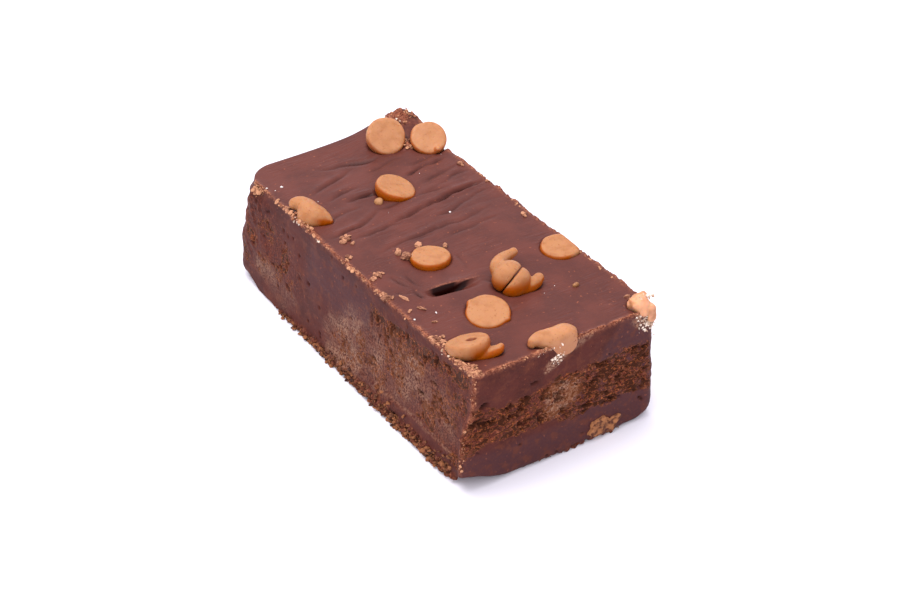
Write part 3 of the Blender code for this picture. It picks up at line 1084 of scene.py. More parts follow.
@dataclass(frozen=True)
class TornEdges:
    """Burrs along the knife-cut edges, and what tore when the bar was lifted out.

    Attributes:
        form: the bar's form.
        points: the bar's points before any relief.
        moved: the points so far, which the methods change.
        masks: the masks so far, which the methods change.
        burr: height, width and depth of the burr along the top edges.
        near: width of the rough upright edge between the left and front faces.
        flare: how far that edge's foot stands out, and over what width.
        flare_top: heights where the flare ends and where it is full.
        peak, peak_span: middle and half sizes, in plan, of the torn corner.
        tooth: place across the bar, width and height of its highest tooth.
        strip, strip_start: place and width across the bar of the torn strip beside it, and where
            along the bar it starts and is full.
        swell: how far the right edge bulges.
    """

    form: BarForm
    points: Array
    moved: Array
    masks: dict[str, Array]
    burr: tuple[float, float, float] = (0.75, 0.6, 0.55)
    near: float = 0.9
    flare: tuple[float, float] = (2.6, 2.6)
    flare_top: tuple[float, float] = (20.5, 14.5)
    peak: tuple[float, float] = (21.0, 47.0)
    peak_span: tuple[float, float] = (4.5, 3.6)
    tooth: tuple[float, float, float] = (22.0, 1.3, 0.8)
    strip: tuple[float, float] = (17.2, 1.2)
    strip_start: tuple[float, float] = (35.5, 37.5)
    swell: float = 0.5

    def tear(self, gaps: Array) -> None:
        """Move the points near the edges and mark them.

        Args:
            gaps: how far each point lies inside each wall.
        """
        left, right, front, _ = gaps
        burrs = (self.masks["burr"], self.top_edges(left, right, front), self.near_edge(left, front),
                 self.far_corner())
        self.masks["burr"][:] = np.clip(np.maximum.reduce(burrs), 0.0, 1.0)
        bulge = self.swell * smooth_step(1.5, 0.0, right) * smooth_step(3.0, 8.0, self.points[:, 2])
        self.moved[:, 0] += bulge * (0.9 + Lattice.fractal(self.points, (2.0, 4.0, 2.4), 77))

    def top_edges(self, left: Array, right: Array, front: Array) -> Array:
        """Raise a ragged burr along the top's cut edges.

        Args:
            left: how far each point lies inside the left wall.
            right: the same for the right wall.
            front: the same for the front wall.

        Returns:
            How much of each point is burr.
        """
        x, y, z = self.points.T
        height, width, depth = self.burr
        under = self.form.height + self.form.top_form(x, y) - z
        inwards = np.minimum(np.minimum(left, front), right + 0.2)
        near_top = bell(np.maximum(inwards, 0.0), width) * bell(np.maximum(under, 0.0), depth)
        ragged = smooth_step(-0.3, 0.35, Lattice.fractal(self.points, 1.5, 71))
        heavy = 0.4 + 0.6 * smooth_step(-0.1, 0.5, Lattice.value(self.points, 8.0, 73))
        self.moved[:, 2] += height * near_top * ragged * heavy
        sideways = 0.35 * near_top * Lattice.fractal(self.points, 1.2, 74)
        for axis, gap in ((0, left), (1, front)):
            self.moved[:, axis] += np.where(gap < 1.0, sideways, 0.0)
        return near_top * (0.35 + 0.9 * ragged)

    def near_edge(self, left: Array, front: Array) -> Array:
        """Roughen the upright edge between the left and front faces, and flare its foot.

        Args:
            left: how far each point lies inside the left wall.
            front: the same for the front wall.

        Returns:
            How much of each point is burr.
        """
        z = self.points[:, 2]
        reach, width = self.flare
        upright = bell(np.hypot(left, front), self.near) * smooth_step(2.0, 5.0, z)
        flare = bell(np.maximum(left, 0.0), width) * bell(np.maximum(front, 0.0), width)
        flare = flare * smooth_step(*self.flare_top, z) * smooth_step(0.0, 5.0, z)
        rough = Lattice.fractal(self.points, 1.3, 75)
        self.moved[:, 0] -= reach * flare + 0.5 * upright * rough
        self.moved[:, 1] -= 0.35 * upright * (rough + 0.1)
        return upright * (0.25 + 0.6 * smooth_step(-0.2, 0.4, rough))

    def far_corner(self) -> Array:
        """Tear the raised far corner and the strip beside the chip there.

        Returns:
            How much of each point is burr.
        """
        x, y, z = self.points.T
        torn = bell(x - self.peak[0], self.peak_span[0]) * bell(y - self.peak[1], self.peak_span[1])
        torn = torn * smooth_step(26.0, 29.0, z)
        strip = bell(x - self.strip[0], self.strip[1]) * smooth_step(*self.strip_start, y)
        strip = strip * smooth_step(24.0, 28.0, z)
        jagged = Lattice.fractal(self.points, (1.9, 2.6, 2.6), 79)
        middle, width, height = self.tooth
        self.moved[:, 2] += torn * (0.2 + 1.8 * jagged + height * bell(x - middle, width))
        self.moved[:, 2] += strip * (0.4 + 1.4 * jagged)
        self.moved[:, 1] += 0.5 * torn * Lattice.fractal(self.points, 1.4, 80)
        crumb, pit_shade = self.masks["crumb"], self.masks["pit_shade"]
        crumb[:] = np.maximum(crumb, torn * smooth_step(-0.2, 0.3, jagged + 0.2))
        # Painted shade in the low points of the torn corner and strip.
        pit_shade[:] = np.maximum(pit_shade, np.maximum(torn, strip) * smooth_step(-0.05, -0.4, jagged))
        return np.maximum(strip, 0.6 * torn) * smooth_step(-0.3, 0.3, jagged + 0.1)


@dataclass(frozen=True)
class Stain:
    """A patch of pale film that the knife left on a face, or of bluish grey: a grey smear with painted sheen
    on the left face, painted reflection of the floor on the front.

    Attributes:
        mask: "smear_and_sheen" or "pale".
        side: the face.
        zone: where it lies on the face.
        wander: how far its outline wanders along and up.
        patchy: whether it is broken into patches.
    """

    mask: str
    side: Side
    zone: Zone
    wander: tuple[float, float] = (1.5, 1.5)
    patchy: bool = False


@dataclass(frozen=True)
class Stains:
    """Everything that the knife smeared on the cut faces, and the painted bluish sheen on them."""

    left_face: tuple[Stain, ...] = (
        # Grey smear on the left face, with painted bluish sheen.
        Stain("smear_and_sheen", Side.LEFT, Zone((-12.0, 0.0, 18.0), (20.0, 15.0, 14.0),
                                      (26.0, 27.0, 26.0), 2.5, 0.6)),
        Stain("pale", Side.LEFT, Zone((-46.0, -30.0, -8.0, 8.0), (8.0, 8.0, 3.0, 1.0),
                                      (20.0, 23.0, 22.0, 12.0), 2.5, 0.7), patchy=True),
        Stain("pale", Side.LEFT, Zone((22.0, 31.0, 42.0), (4.0, 2.5, 6.0), (7.0, 10.0, 10.0), 1.8, 0.6),
              patchy=True),
    )
    front_face: tuple[Stain, ...] = (
        # Painted bluish reflection of the floor on the front's foot and its right part.
        Stain("smear_and_sheen", Side.FRONT, Zone((-30.0, 0.0, 16.0, 30.0), (0.0, -3.0, -3.0, 0.0),
                                       (9.5, 8.5, 30.0, 30.0), 1.6, 0.75), (0.0, 0.75)),
        Stain("pale", Side.FRONT, Zone((-4.6, 0.0, 3.8), (12.0, 11.5, 14.0),
                                       (18.5, 20.5, 18.0), 1.4, 0.95)),
    )
    under_cut_chips: tuple[Stain, ...] = (
        Stain("pale", Side.FRONT, Zone((18.5, 21.0, 26.0), (26.0, 24.5, 22.5), (28.0, 30.0, 30.0), 0.9)),
        Stain("pale", Side.FRONT, Zone((-4.6, -1.8, 0.6), (23.6, 24.0, 25.6),
                                       (25.2, 27.2, 26.6), 0.5, 0.9)),
        Stain("pale", Side.FRONT, Zone((2.0, 5.0, 8.0), (26.5, 27.2, 28.6), (29.6, 30.0, 30.2), 0.5, 0.5),
              (0.0, 0.45)),
    )
    ledge_line: float = 0.4
    ledge_width: float = 0.45

    def lay(self, points: Array, masks: dict[str, Array], walls: dict[Side, Array]) -> None:
        """Mark the stains.

        Args:
            points: the bar's points.
            masks: the masks so far, which this changes.
            walls: which points belong to each wall.
        """
        x, y, z = points.T
        drift = Lattice.fractal(points, 4.0, 81)
        patches = 0.25 + 0.75 * smooth_step(-0.3, 0.4, Lattice.fractal(points, (5.0, 5.0, 4.0), 83))
        for stain in self.left_face + self.front_face + self.under_cut_chips:
            along = y if stain.side is Side.LEFT else x
            weight = stain.zone.weight(along + stain.wander[0] * drift, z + stain.wander[1] * drift)
            self.mark(masks[stain.mask], weight * patches if stain.patchy else weight, walls[stain.side])
        line = bell(z + 0.6 * drift - CutFaces.ledge_height(y), self.ledge_width)
        line = line * plateau((-50.0, -44.0), (-24.0, -12.0), y)
        self.mark(masks["pale"], self.ledge_line * line, walls[Side.LEFT])

    @staticmethod
    def mark(mask: Array, weight: Array, chosen: Array) -> None:
        """Raise a mask to the weight at the chosen points."""
        mask[chosen] = np.maximum(mask, weight)[chosen]


# ---------------- chips


def smooth_min(first: Array, second: Array, blend: float) -> Array:
    """Lower of two distances, rounded where they meet."""
    share = np.clip(0.5 + 0.5 * (second - first) / blend, 0.0, 1.0)
    return second + (first - second) * share - blend * share * (1.0 - share)


def smooth_max(first: Array, second: Array, blend: float) -> Array:
    """Higher of two distances, rounded where they meet."""
    return -smooth_min(-first, -second, blend)


def catmull_rom(knots: Sequence[Sequence[float]], steps: int) -> Array:
    """Points on a smooth curve through knots of any size.

    Args:
        knots: rows of numbers, all of one length.
        steps: points for each stretch between knots.

    Returns:
        Rows like the knots.
    """
    row = np.array(knots, dtype=float)
    row = np.vstack([2.0 * row[0] - row[1], row, 2.0 * row[-1] - row[-2]])
    found = []
    for k in range(1, len(row) - 2):
        before, here, there, beyond = row[k - 1:k + 3]
        for step in range(steps):
            t = step / steps
            found.append(0.5 * (2.0 * here + (there - before) * t
                                + (2.0 * before - 5.0 * here + 4.0 * there - beyond) * t ** 2
                                + (3.0 * here - before - 3.0 * there + beyond) * t ** 3))
    found.append(row[-2])
    return np.array(found)


def polygonise(distance: Callable[[Array], Array], low: Array, high: Array,
               step: float) -> tuple[Array, Array]:
    """Mesh of the surface where a distance is zero, one point for each crossed cell.

    Args:
        distance: distance of rows of points, negative inside.
        low: lowest corner of the space searched.
        high: highest corner.
        step: cell size.

    Returns:
        Points and four-cornered faces.
    """
    axes = [np.arange(a, b + step, step) for a, b in zip(low, high)]
    grid = np.stack(np.meshgrid(*axes, indexing="ij"), axis=-1)
    field_values = distance(grid.reshape(-1, 3)).reshape(grid.shape[:3])
    size = np.array(field_values.shape) - 1

    def corner(offset: Sequence[int]) -> tuple[slice, ...]:
        """Slices that pick one corner of every cell."""
        return tuple(slice(o, o + n) for o, n in zip(offset, size))

    total = np.zeros((*size, 3))
    count = np.zeros(size)
    for axis in range(3):
        others = [k for k in range(3) if k != axis]
        for i in (0, 1):
            for j in (0, 1):
                start, end = [0, 0, 0], [0, 0, 0]
                start[others[0]], start[others[1]] = i, j
                end[others[0]], end[others[1]] = i, j
                end[axis] = 1
                a, b = field_values[corner(start)], field_values[corner(end)]
                crossed = (a < 0.0) != (b < 0.0)
                share = np.where(crossed, a / np.where(crossed, a - b, 1.0), 0.0)
                spot = grid[corner(start)] + share[..., None] * (grid[corner(end)] - grid[corner(start)])
                total += np.where(crossed[..., None], spot, 0.0)
                count += crossed
    active = count > 0
    number = np.full(size, -1)
    number[active] = np.arange(int(active.sum()))
    points = total[active] / count[active][:, None]
    faces = []
    for axis in range(3):
        others = [k for k in range(3) if k != axis]
        inner = tuple(slice(1, n) if k in others else slice(0, n) for k, n in enumerate(size))
        ahead = tuple(slice(s.start + (1 if k == axis else 0), s.stop + (1 if k == axis else 0))
                      for k, s in enumerate(inner))
        a, b = field_values[inner] < 0.0, field_values[ahead] < 0.0
        spots = np.argwhere(a != b)
        entering = b[tuple(spots.T)]
        spots = spots + np.array([1 if k in others else 0 for k in range(3)])
        around = []
        for i, j in ((0, 0), (-1, 0), (-1, -1), (0, -1)):
            shift = np.zeros(3, dtype=int)
            shift[others[0]], shift[others[1]] = i, j
            around.append(number[tuple((spots + shift).T)])
        quad = np.stack(around, axis=-1)
        flip = entering if axis != 1 else ~entering
        faces.append(np.where(flip[:, None], quad[:, ::-1], quad))
    return points, np.vstack(faces)


def leaning(lean: float, heading: float) -> Point:
    """Direction tilted from straight up by lean, towards a compass heading from +X, in degrees."""
    tilt, turn = math.radians(lean), math.radians(heading)
    return math.sin(tilt) * math.cos(turn), math.sin(tilt) * math.sin(turn), math.cos(tilt)


@dataclass(frozen=True)
class Ball:
    """A small lump or dent: centre and radius."""

    centre: Point
    radius: float

    def distance(self, points: Array) -> Array:
        """Distance of each point from the ball."""
        return np.linalg.norm(points - np.array(self.centre), axis=1) - self.radius


@dataclass(frozen=True)
class Chip:
    """One baking chip: a dome on a flat foot, drawn out into a tail that may curl.

    Attributes:
        node: the solid it replaces.
        foot: middle of its flat foot.
        facing: direction that the foot faces.
        radius: radius of the foot.
        height: height of the dome.
        tail: x, y, z and radius of knots from the dome to the tip.
        blend: how softly the tail joins the dome.
        rim: rounding of the foot's edge.
        lumps: nubs on it.
        dents: hollows in it.
        trims: walls that cut it flush.
        seed: picks its own unevenness.
        uneven: height of its unevenness.
        step: spacing of its mesh.
        proud: how far the cut stands out from the fudge.
        chalky: how pale and dusty it is, 0 to 1.
        widest: depth below the foot where the dome is widest.
        blends: how softly lumps join, dents sink in and cuts end.
        sunk: how far the skin lies under a foot that faces up.
        groove: depth of the groove round it.
    """

    node: str
    foot: Point
    facing: Point
    radius: float
    height: float = 5.2
    tail: tuple[tuple[float, float, float, float], ...] = ()
    blend: float = 0.7
    rim: float = 0.9
    lumps: tuple[Ball, ...] = ()
    dents: tuple[Ball, ...] = ()
    trims: tuple[Side, ...] = ()
    seed: int = 0
    uneven: float = 0.13
    step: float = 0.17
    proud: float = 0.2
    chalky: float = 0.0
    widest: float = 1.0
    blends: tuple[float, float, float] = (0.7, 0.4, 0.5)
    sunk: float = 0.2
    groove: float = 0.4

    @property
    def axis(self) -> Array:
        """Direction that the foot faces, one long."""
        return np.array(self.facing) / np.linalg.norm(self.facing)

    @property
    def foot_up(self) -> bool:
        """Whether the chip lies with its foot up, pressed in flat."""
        return bool(self.axis[2] > 0.6)

    def distance(self, points: Array, form: BarForm) -> Array:
        """Work out how far points lie from the chip's surface.

        Args:
            points: rows of x, y, z.
            form: the bar whose walls cut the chip flush.

        Returns:
            The distances, negative inside.
        """
        facing = self.axis
        local = points - np.array(self.foot)
        depth = -(local @ facing)
        radial = np.linalg.norm(local + depth[:, None] * facing, axis=1)
        lump_blend, dent_blend, cut_blend = self.blends
        wide, tall = self.radius, self.height - self.widest
        scaled = np.hypot(radial / wide, (depth - self.widest) / tall)
        slope = np.hypot(radial / wide ** 2, (depth - self.widest) / tall ** 2)
        dome = scaled * (scaled - 1.0) / np.maximum(slope, 1e-4)
        solid = smooth_max(dome, -depth, self.rim)
        for lump in self.lumps:
            solid = smooth_min(solid, lump.distance(points), lump_blend)
        if self.tail:
            curve = catmull_rom(self.tail, 9)
            tail = np.full(len(points), 99.0)
            for x, y, z, radius in curve:
                tail = np.minimum(tail, np.linalg.norm(points - np.array([x, y, z]), axis=1) - radius)
            solid = smooth_min(solid, tail, self.blend)
        for dent in self.dents:
            solid = smooth_max(solid, -dent.distance(points), dent_blend)
        uneven = self.uneven * Lattice.value(points, 2.8, 200 + self.seed)
        uneven = uneven + 0.25 * self.uneven * Lattice.value(points, 0.9, 300 + self.seed)
        solid = solid + uneven
        for side in self.trims:
            solid = smooth_max(solid, self.past_cut(side, points, form), cut_blend)
        return solid

    def past_cut(self, side: Side, points: Array, form: BarForm) -> Array:
        """How far points lie past the cut that one wall makes through the chip."""
        return -form.gaps(points, 2.0)[side.value] - self.proud

    def bounds(self) -> tuple[Array, Array]:
        """A box that holds the chip."""
        centres = [np.array(self.foot)] + [np.array(knot[:3]) for knot in self.tail]
        reaches = [self.radius + 1.0] + [knot[3] + 0.8 for knot in self.tail]
        centres += [np.array(lump.centre) for lump in self.lumps]
        reaches += [lump.radius + 0.5 for lump in self.lumps]
        deep = np.array(self.foot) - self.axis * self.height
        low = np.min([c - r for c, r in zip(centres, reaches)], axis=0)
        high = np.max([c + r for c, r in zip(centres, reaches)], axis=0)
        return np.minimum(low, deep - 1.5), np.maximum(high, deep + 1.5)

    def seat(self, x: Array, y: Array, relief: Array, form: BarForm) -> Array:
        """Lower the skin so that the chip shows whole, with a thin groove round it.

        Args:
            x: across the bar.
            y: along the bar.
            relief: height of the skin over its level.
            form: the bar it is set in.

        Returns:
            The new height.
        """
        level = form.height
        low, high = self.bounds()
        near = (x > low[0] - 1.0) & (x < high[0] + 1.0) & (y > low[1] - 1.0) & (y < high[1] + 1.0)
        if not near.any():
            return relief
        part_x, part_y, part = x[near], y[near], relief[near]
        facing = self.axis
        if self.foot_up:
            from_x, from_y = part_x - self.foot[0], part_y - self.foot[1]
            plane = self.foot[2] - (facing[0] * from_x + facing[1] * from_y) / facing[2] - level
            reach = np.sqrt(from_x ** 2 + from_y ** 2 + (plane + level - self.foot[2]) ** 2)
            target = plane - self.sunk
            weight = 1.0 - smooth_step(self.radius - 0.3, self.radius + 1.6, reach)
            part = np.where(target < part, part + weight * (target - part), part)
        spots = np.column_stack([part_x, part_y, part + level])
        gap = self.distance(spots, form)
        part = part - self.groove * (1.0 - smooth_step(0.0, 0.6, gap)) - np.clip(-gap, 0.0, 1.5)
        changed = relief.copy()
        changed[near] = part
        return changed

    def build(self, form: BarForm) -> bpy.types.Object:
        """Make the chip's mesh and its masks.

        Args:
            form: the bar it is set in.

        Returns:
            The chip.
        """
        low, high = self.bounds()
        points, faces = polygonise(lambda spots: self.distance(spots, form), low, high, self.step)
        piece = make_piece(self.node + "_piece", points, faces.tolist())
        normals = np.empty(len(points) * 3)
        piece.data.vertices.foreach_get("normal", normals)
        upward = normals.reshape(-1, 3)[:, 2]
        over_foot = normals.reshape(-1, 3) @ self.axis
        upward = np.maximum(upward, over_foot) if self.foot_up else upward + 0.3
        above = points[:, 2] - form.height - form.top_form(points[:, 0], points[:, 1])
        # Painted shade and glow: deeper orange where the surface turns from up and lies close over the
        # fudge.
        painted_side_shade = smooth_step(0.93, 0.6, upward) * (1.0 - smooth_step(1.4, 4.5, above))
        cut, spot = np.zeros(len(points)), np.zeros(len(points))
        for side in self.trims:
            gap = self.past_cut(side, points, form)
            painted_side_shade = painted_side_shade * smooth_step(-1.5, -4.0, gap + self.proud)
            cut = np.maximum(cut, smooth_step(-1.3, 0.0, gap) * smooth_step(31.0, 28.0, points[:, 2]))
        # Mark the insides of the dents, which are coloured darker.
        for dent in self.dents:
            spot = np.maximum(spot, 1.0 - smooth_step(0.0, 0.35, dent.distance(points)))
        chalky = self.chalky * smooth_step(-0.9, 0.3, Lattice.fractal(points, 1.6, 211))
        paint(piece, {"painted_side_shade": painted_side_shade * (1.0 - cut), "cut": cut, "spot": spot, "chalky": chalky})
        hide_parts(self.node)
        return piece


CHIPS: tuple[Chip, ...] = (
    Chip("chip_disc_corner", (12.5, 40.0, 33.0), leaning(45.0, -99.0), 4.95, seed=1, chalky=0.2),
    Chip("chip_disc_edge_back", (21.6, 34.9, 32.2), leaning(33.0, -113.0), 4.6, seed=2, chalky=0.15,
         lumps=(Ball((21.9, 31.3, 30.2), 0.75),)),
    Chip("chip_disc_tilted", (3.6, 21.2, 31.0), leaning(18.0, -38.0), 4.95, seed=3),
    Chip("chip_disc_middle", (-5.8, -8.4, 30.6), leaning(3.0, 45.0), 4.7, seed=4),
    Chip("chip_disc_edge_right", (21.5, -20.9, 30.2), leaning(5.0, -145.0), 4.7, seed=5,
         trims=(Side.RIGHT,)),
    Chip("chip_disc_large", (-7.2, -33.6, 30.2), leaning(13.0, -126.0), 5.0, seed=6,
         lumps=(Ball((-8.9, -29.2, 30.0), 0.7), Ball((-4.9, -37.6, 29.3), 0.75))),
    Chip("chip_curl_tall", (3.1, -27.55, 31.1), (0.45, -0.72, -0.52), 3.85, 4.3,
         rim=0.4, seed=7, uneven=0.09,
         tail=((2.6, -25.1, 31.5, 2.4), (2.5, -23.5, 32.1, 2.0), (3.8, -22.0, 32.4, 1.65),
               (5.8, -21.0, 32.4, 1.4), (7.6, -20.6, 32.3, 1.2), (8.7, -20.4, 32.5, 1.0)), blend=0.45),
    Chip("chip_curl_low", (3.2, -27.75, 30.95), (-0.45, 0.72, 0.52), 3.85, 4.1,
         rim=0.4, seed=8, uneven=0.09,
         tail=((4.9, -29.5, 29.5, 2.1), (6.4, -30.1, 29.7, 1.75), (7.8, -30.4, 30.2, 1.45),
               (8.8, -30.2, 30.8, 1.2)), blend=0.5),
    Chip("chip_curl_left", (-19.7, 21.8, 28.4), (0.0, 0.0, -1.0), 3.2, 3.5, seed=9, rim=1.2,
         dents=(Ball((-23.0, 24.7, 30.3), 0.95),),
         tail=((-16.9, 18.1, 29.4, 1.0), (-18.1, 19.9, 29.9, 2.3), (-19.5, 22.0, 30.1, 3.0),
               (-19.2, 24.6, 30.6, 2.3), (-20.0, 26.5, 31.1, 1.8), (-21.0, 27.2, 31.1, 1.45)), blend=0.9,
         trims=(Side.LEFT,), proud=0.0),
    Chip("chip_curl_corner", (-18.2, -41.8, 31.7), (0.02, 0.37, 0.93), 4.85, 4.6, seed=10, rim=0.8,
         dents=(Ball((-17.6, -42.5, 32.45), 1.15),),
         tail=((-18.0, -44.2, 28.9, 2.0), (-16.6, -45.6, 29.2, 1.55), (-14.9, -46.3, 29.7, 1.3),
               (-13.4, -46.8, 30.2, 1.05), (-12.7, -46.7, 30.6, 0.8)), blend=0.4, trims=(Side.LEFT,)),
    Chip("chip_curl_front", (2.2, -50.2, 27.3), (0.5, -0.75, -0.4), 3.8, 4.4, seed=11, rim=1.2,
         tail=((1.2, -49.8, 28.4, 3.3), (-1.2, -49.5, 29.3, 2.75), (-3.1, -49.2, 30.1, 2.15),
               (-4.7, -48.9, 30.6, 1.65), (-5.9, -48.8, 30.5, 1.2), (-6.4, -48.9, 30.0, 0.9)), blend=1.2,
         trims=(Side.FRONT,), proud=0.05, chalky=0.2),
    Chip("chip_corner_right", (22.9, -50.4, 28.4), (0.3, -0.5, -0.8), 2.6, 3.5,
         seed=12, rim=1.0, uneven=0.7,
         lumps=(Ball((22.1, -49.7, 30.0), 2.0), Ball((23.8, -51.0, 28.9), 1.7),
                Ball((21.7, -50.9, 29.0), 1.4), Ball((23.6, -48.6, 30.2), 1.3),
                Ball((24.0, -52.0, 27.0), 1.3)),
         trims=(Side.RIGHT, Side.FRONT), proud=0.6, chalky=0.9),
)


def round_grain(detail: int) -> tuple[Array, Array]:
    """Make a ball of radius 1.

    Args:
        detail: how finely it is meshed.

    Returns:
        Points and three-cornered faces.
    """
    shape = bmesh.new()
    bmesh.ops.create_icosphere(shape, subdivisions=detail, radius=1.0)
    points = np.array([vert.co[:] for vert in shape.verts])
    faces = np.array([[vert.index for vert in one.verts] for one in shape.faces])
    shape.free()
    return points, faces


@dataclass(frozen=True)
class Fragment:
    """Part of a chip cut through low in the front face."""

    node: str = "chip_fragment_front"
    middle: Point = (11.0, -52.2, 2.9)
    half_sizes: Point = (4.2, 3.4, 2.7)

    def build(self, form: BarForm) -> bpy.types.Object:
        """Make the fragment with a rough broken face.

        Args:
            form: the bar it is set in.

        Returns:
            The fragment.
        """
        unit, faces = round_grain(5)
        points = unit * np.array(self.half_sizes) + np.array(self.middle)
        rough = 1.0 + 0.5 * Lattice.fractal(points, 2.2, 401)
        points = np.array(self.middle) + (points - np.array(self.middle)) * rough[:, None]
        level = np.clip(points[:, 2] / form.height, 0.0, 1.0)
        face = -form.length / 2.0 + form.flare_front * level
        face = face + 1.2 * np.clip((1.9 - points[:, 2]) / 1.9, 0.0, 1.0) ** 2
        near, _, _ = Lattice.cells(points, 0.9, 405)
        patch = Lattice.fractal(points, 1.5, 407)
        proud = 0.35 + 0.35 * (0.5 - near) + 0.45 * patch
        points[:, 1] = np.maximum(points[:, 1], face - proud)
        points[:, 2] = np.maximum(points[:, 2], 0.15)
        piece = make_piece(self.node + "_piece", points, faces.tolist())
        shade = 0.45 + 1.2 * Lattice.fractal(points, 1.1, 409) + 0.5 * patch
        shade = shade + 0.4 * smooth_step(9.6, 7.4, points[:, 0])
        paint(piece, {"shade": np.clip(shade, 0.0, 1.3)})
        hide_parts(self.node)
        return piece


# ---------------- crumbs


class CrumbKind(Enum):
    """Kinds of small bits on the bar, and the names of their pieces."""

    EDGE = "edge_crumbs"
    FRINGE = "base_crumbs"
    LOOSE = "loose_crumbs"
    SUGAR = "sugar_grains"
    CREAM = "cream_flecks"
    LUMP = "sunken_lumps"


@dataclass(frozen=True)
class Crumb:
    """One crumb: place, three half sizes and a seed for its shape and turn."""

    place: Point
    half_sizes: Point
    seed: int


@dataclass(frozen=True)
class Size:
    """Half sizes of crumbs in millimetres: the least, the span over it, and how rare big ones are."""

    least: float
    span: float
    rarity: int = 2

    def draw(self, random: np.random.Generator) -> float:
        """Pick one half size."""
        return self.least + self.span * random.uniform() ** self.rarity


@dataclass(frozen=True)
class Run:
    """Crumbs along a top edge, in clusters.

    Attributes:
        side: the wall under the edge.
        seed: picks where the clusters are.
        start: one end.
        end: the other end.
        count: how many at most.
        past_edge: middle and scatter of their distance over the edge's line.
        above: range of their height over the skin.
        size: their sizes.
        length: how far each is drawn out.
    """

    side: Side
    seed: int
    start: float
    end: float
    count: int
    past_edge: tuple[float, float]
    above: tuple[float, float]
    size: Size
    length: float = 1.0


@dataclass(frozen=True)
class Heap:
    """Crumbs gathered at one spot on the top.

    Attributes:
        count: how many.
        x: middle and scatter across the bar.
        y: middle and scatter along the bar, or two ends where even is set.
        above: range of their height over the skin.
        size: their sizes.
        furthest: highest x and y that they may have.
        even: whether they are spread evenly along the bar.
    """

    count: int
    x: tuple[float, float]
    y: tuple[float, float]
    above: tuple[float, float]
    size: Size
    furthest: tuple[float, float] = (99.0, 99.0)
    even: bool = False


class CrumbMaker:
    """Makes many uneven crumbs as one joined mesh."""

    def __init__(self, kind: CrumbKind, seed: int, detail: int = 2, ragged: float = 0.55) -> None:
        """Start a stream of random numbers and a round grain.

        Args:
            kind: what the crumbs are.
            seed: picks the stream.
            detail: how finely each is meshed.
            ragged: height of the unevenness, as a share of its size.
        """
        self.ragged = ragged
        self.kind = kind
        self.random = np.random.default_rng(seed)
        self.crumbs: list[Crumb] = []
        self.unit, self.unit_faces = round_grain(detail)

    def add(self, place: Sequence[float], size: float, flatness: float = 0.7, length: float = 1.0) -> None:
        """Add one crumb.

        Args:
            place: its middle.
            size: about its half size.
            flatness: how tall it is for its width.
            length: how far it is drawn out.
        """
        stretch = self.random.uniform(0.7, 1.35, 3)
        stretch[2] *= flatness
        stretch[0] *= length
        sizes = tuple(size * stretch)
        self.crumbs.append(Crumb(tuple(place), sizes, int(self.random.integers(1, 1 << 30))))

    def build(self) -> bpy.types.Object:
        """Join all crumbs into one piece.

        Returns:
            The piece.
        """
        points, faces, shade = [], [], []
        for crumb in self.crumbs:
            random = np.random.default_rng(crumb.seed)
            lumps = 1.0 + self.ragged * Lattice.value(self.unit + random.uniform(0, 50, 3), 0.75, 7)
            local = self.unit * lumps[:, None] * np.array(crumb.half_sizes)
            turn = Matrix.Rotation(random.uniform(0, 2 * math.pi), 3, "Z")
            turn = turn @ Matrix.Rotation(random.uniform(-0.7, 0.7), 3, "X")
            placed = local @ np.array(turn).T + np.array(crumb.place)
            placed[:, 2] = np.maximum(placed[:, 2], 0.02)
            faces.append(self.unit_faces + len(points) * len(self.unit))
            points.append(placed)
            shade.append(np.full(len(self.unit), random.uniform(0.0, 1.0)))
        piece = make_piece(self.kind.value, np.vstack(points), np.vstack(faces).tolist(),
                           smooth=self.ragged < 0.3)
        paint(piece, {"shade": np.concatenate(shade)})
        return piece


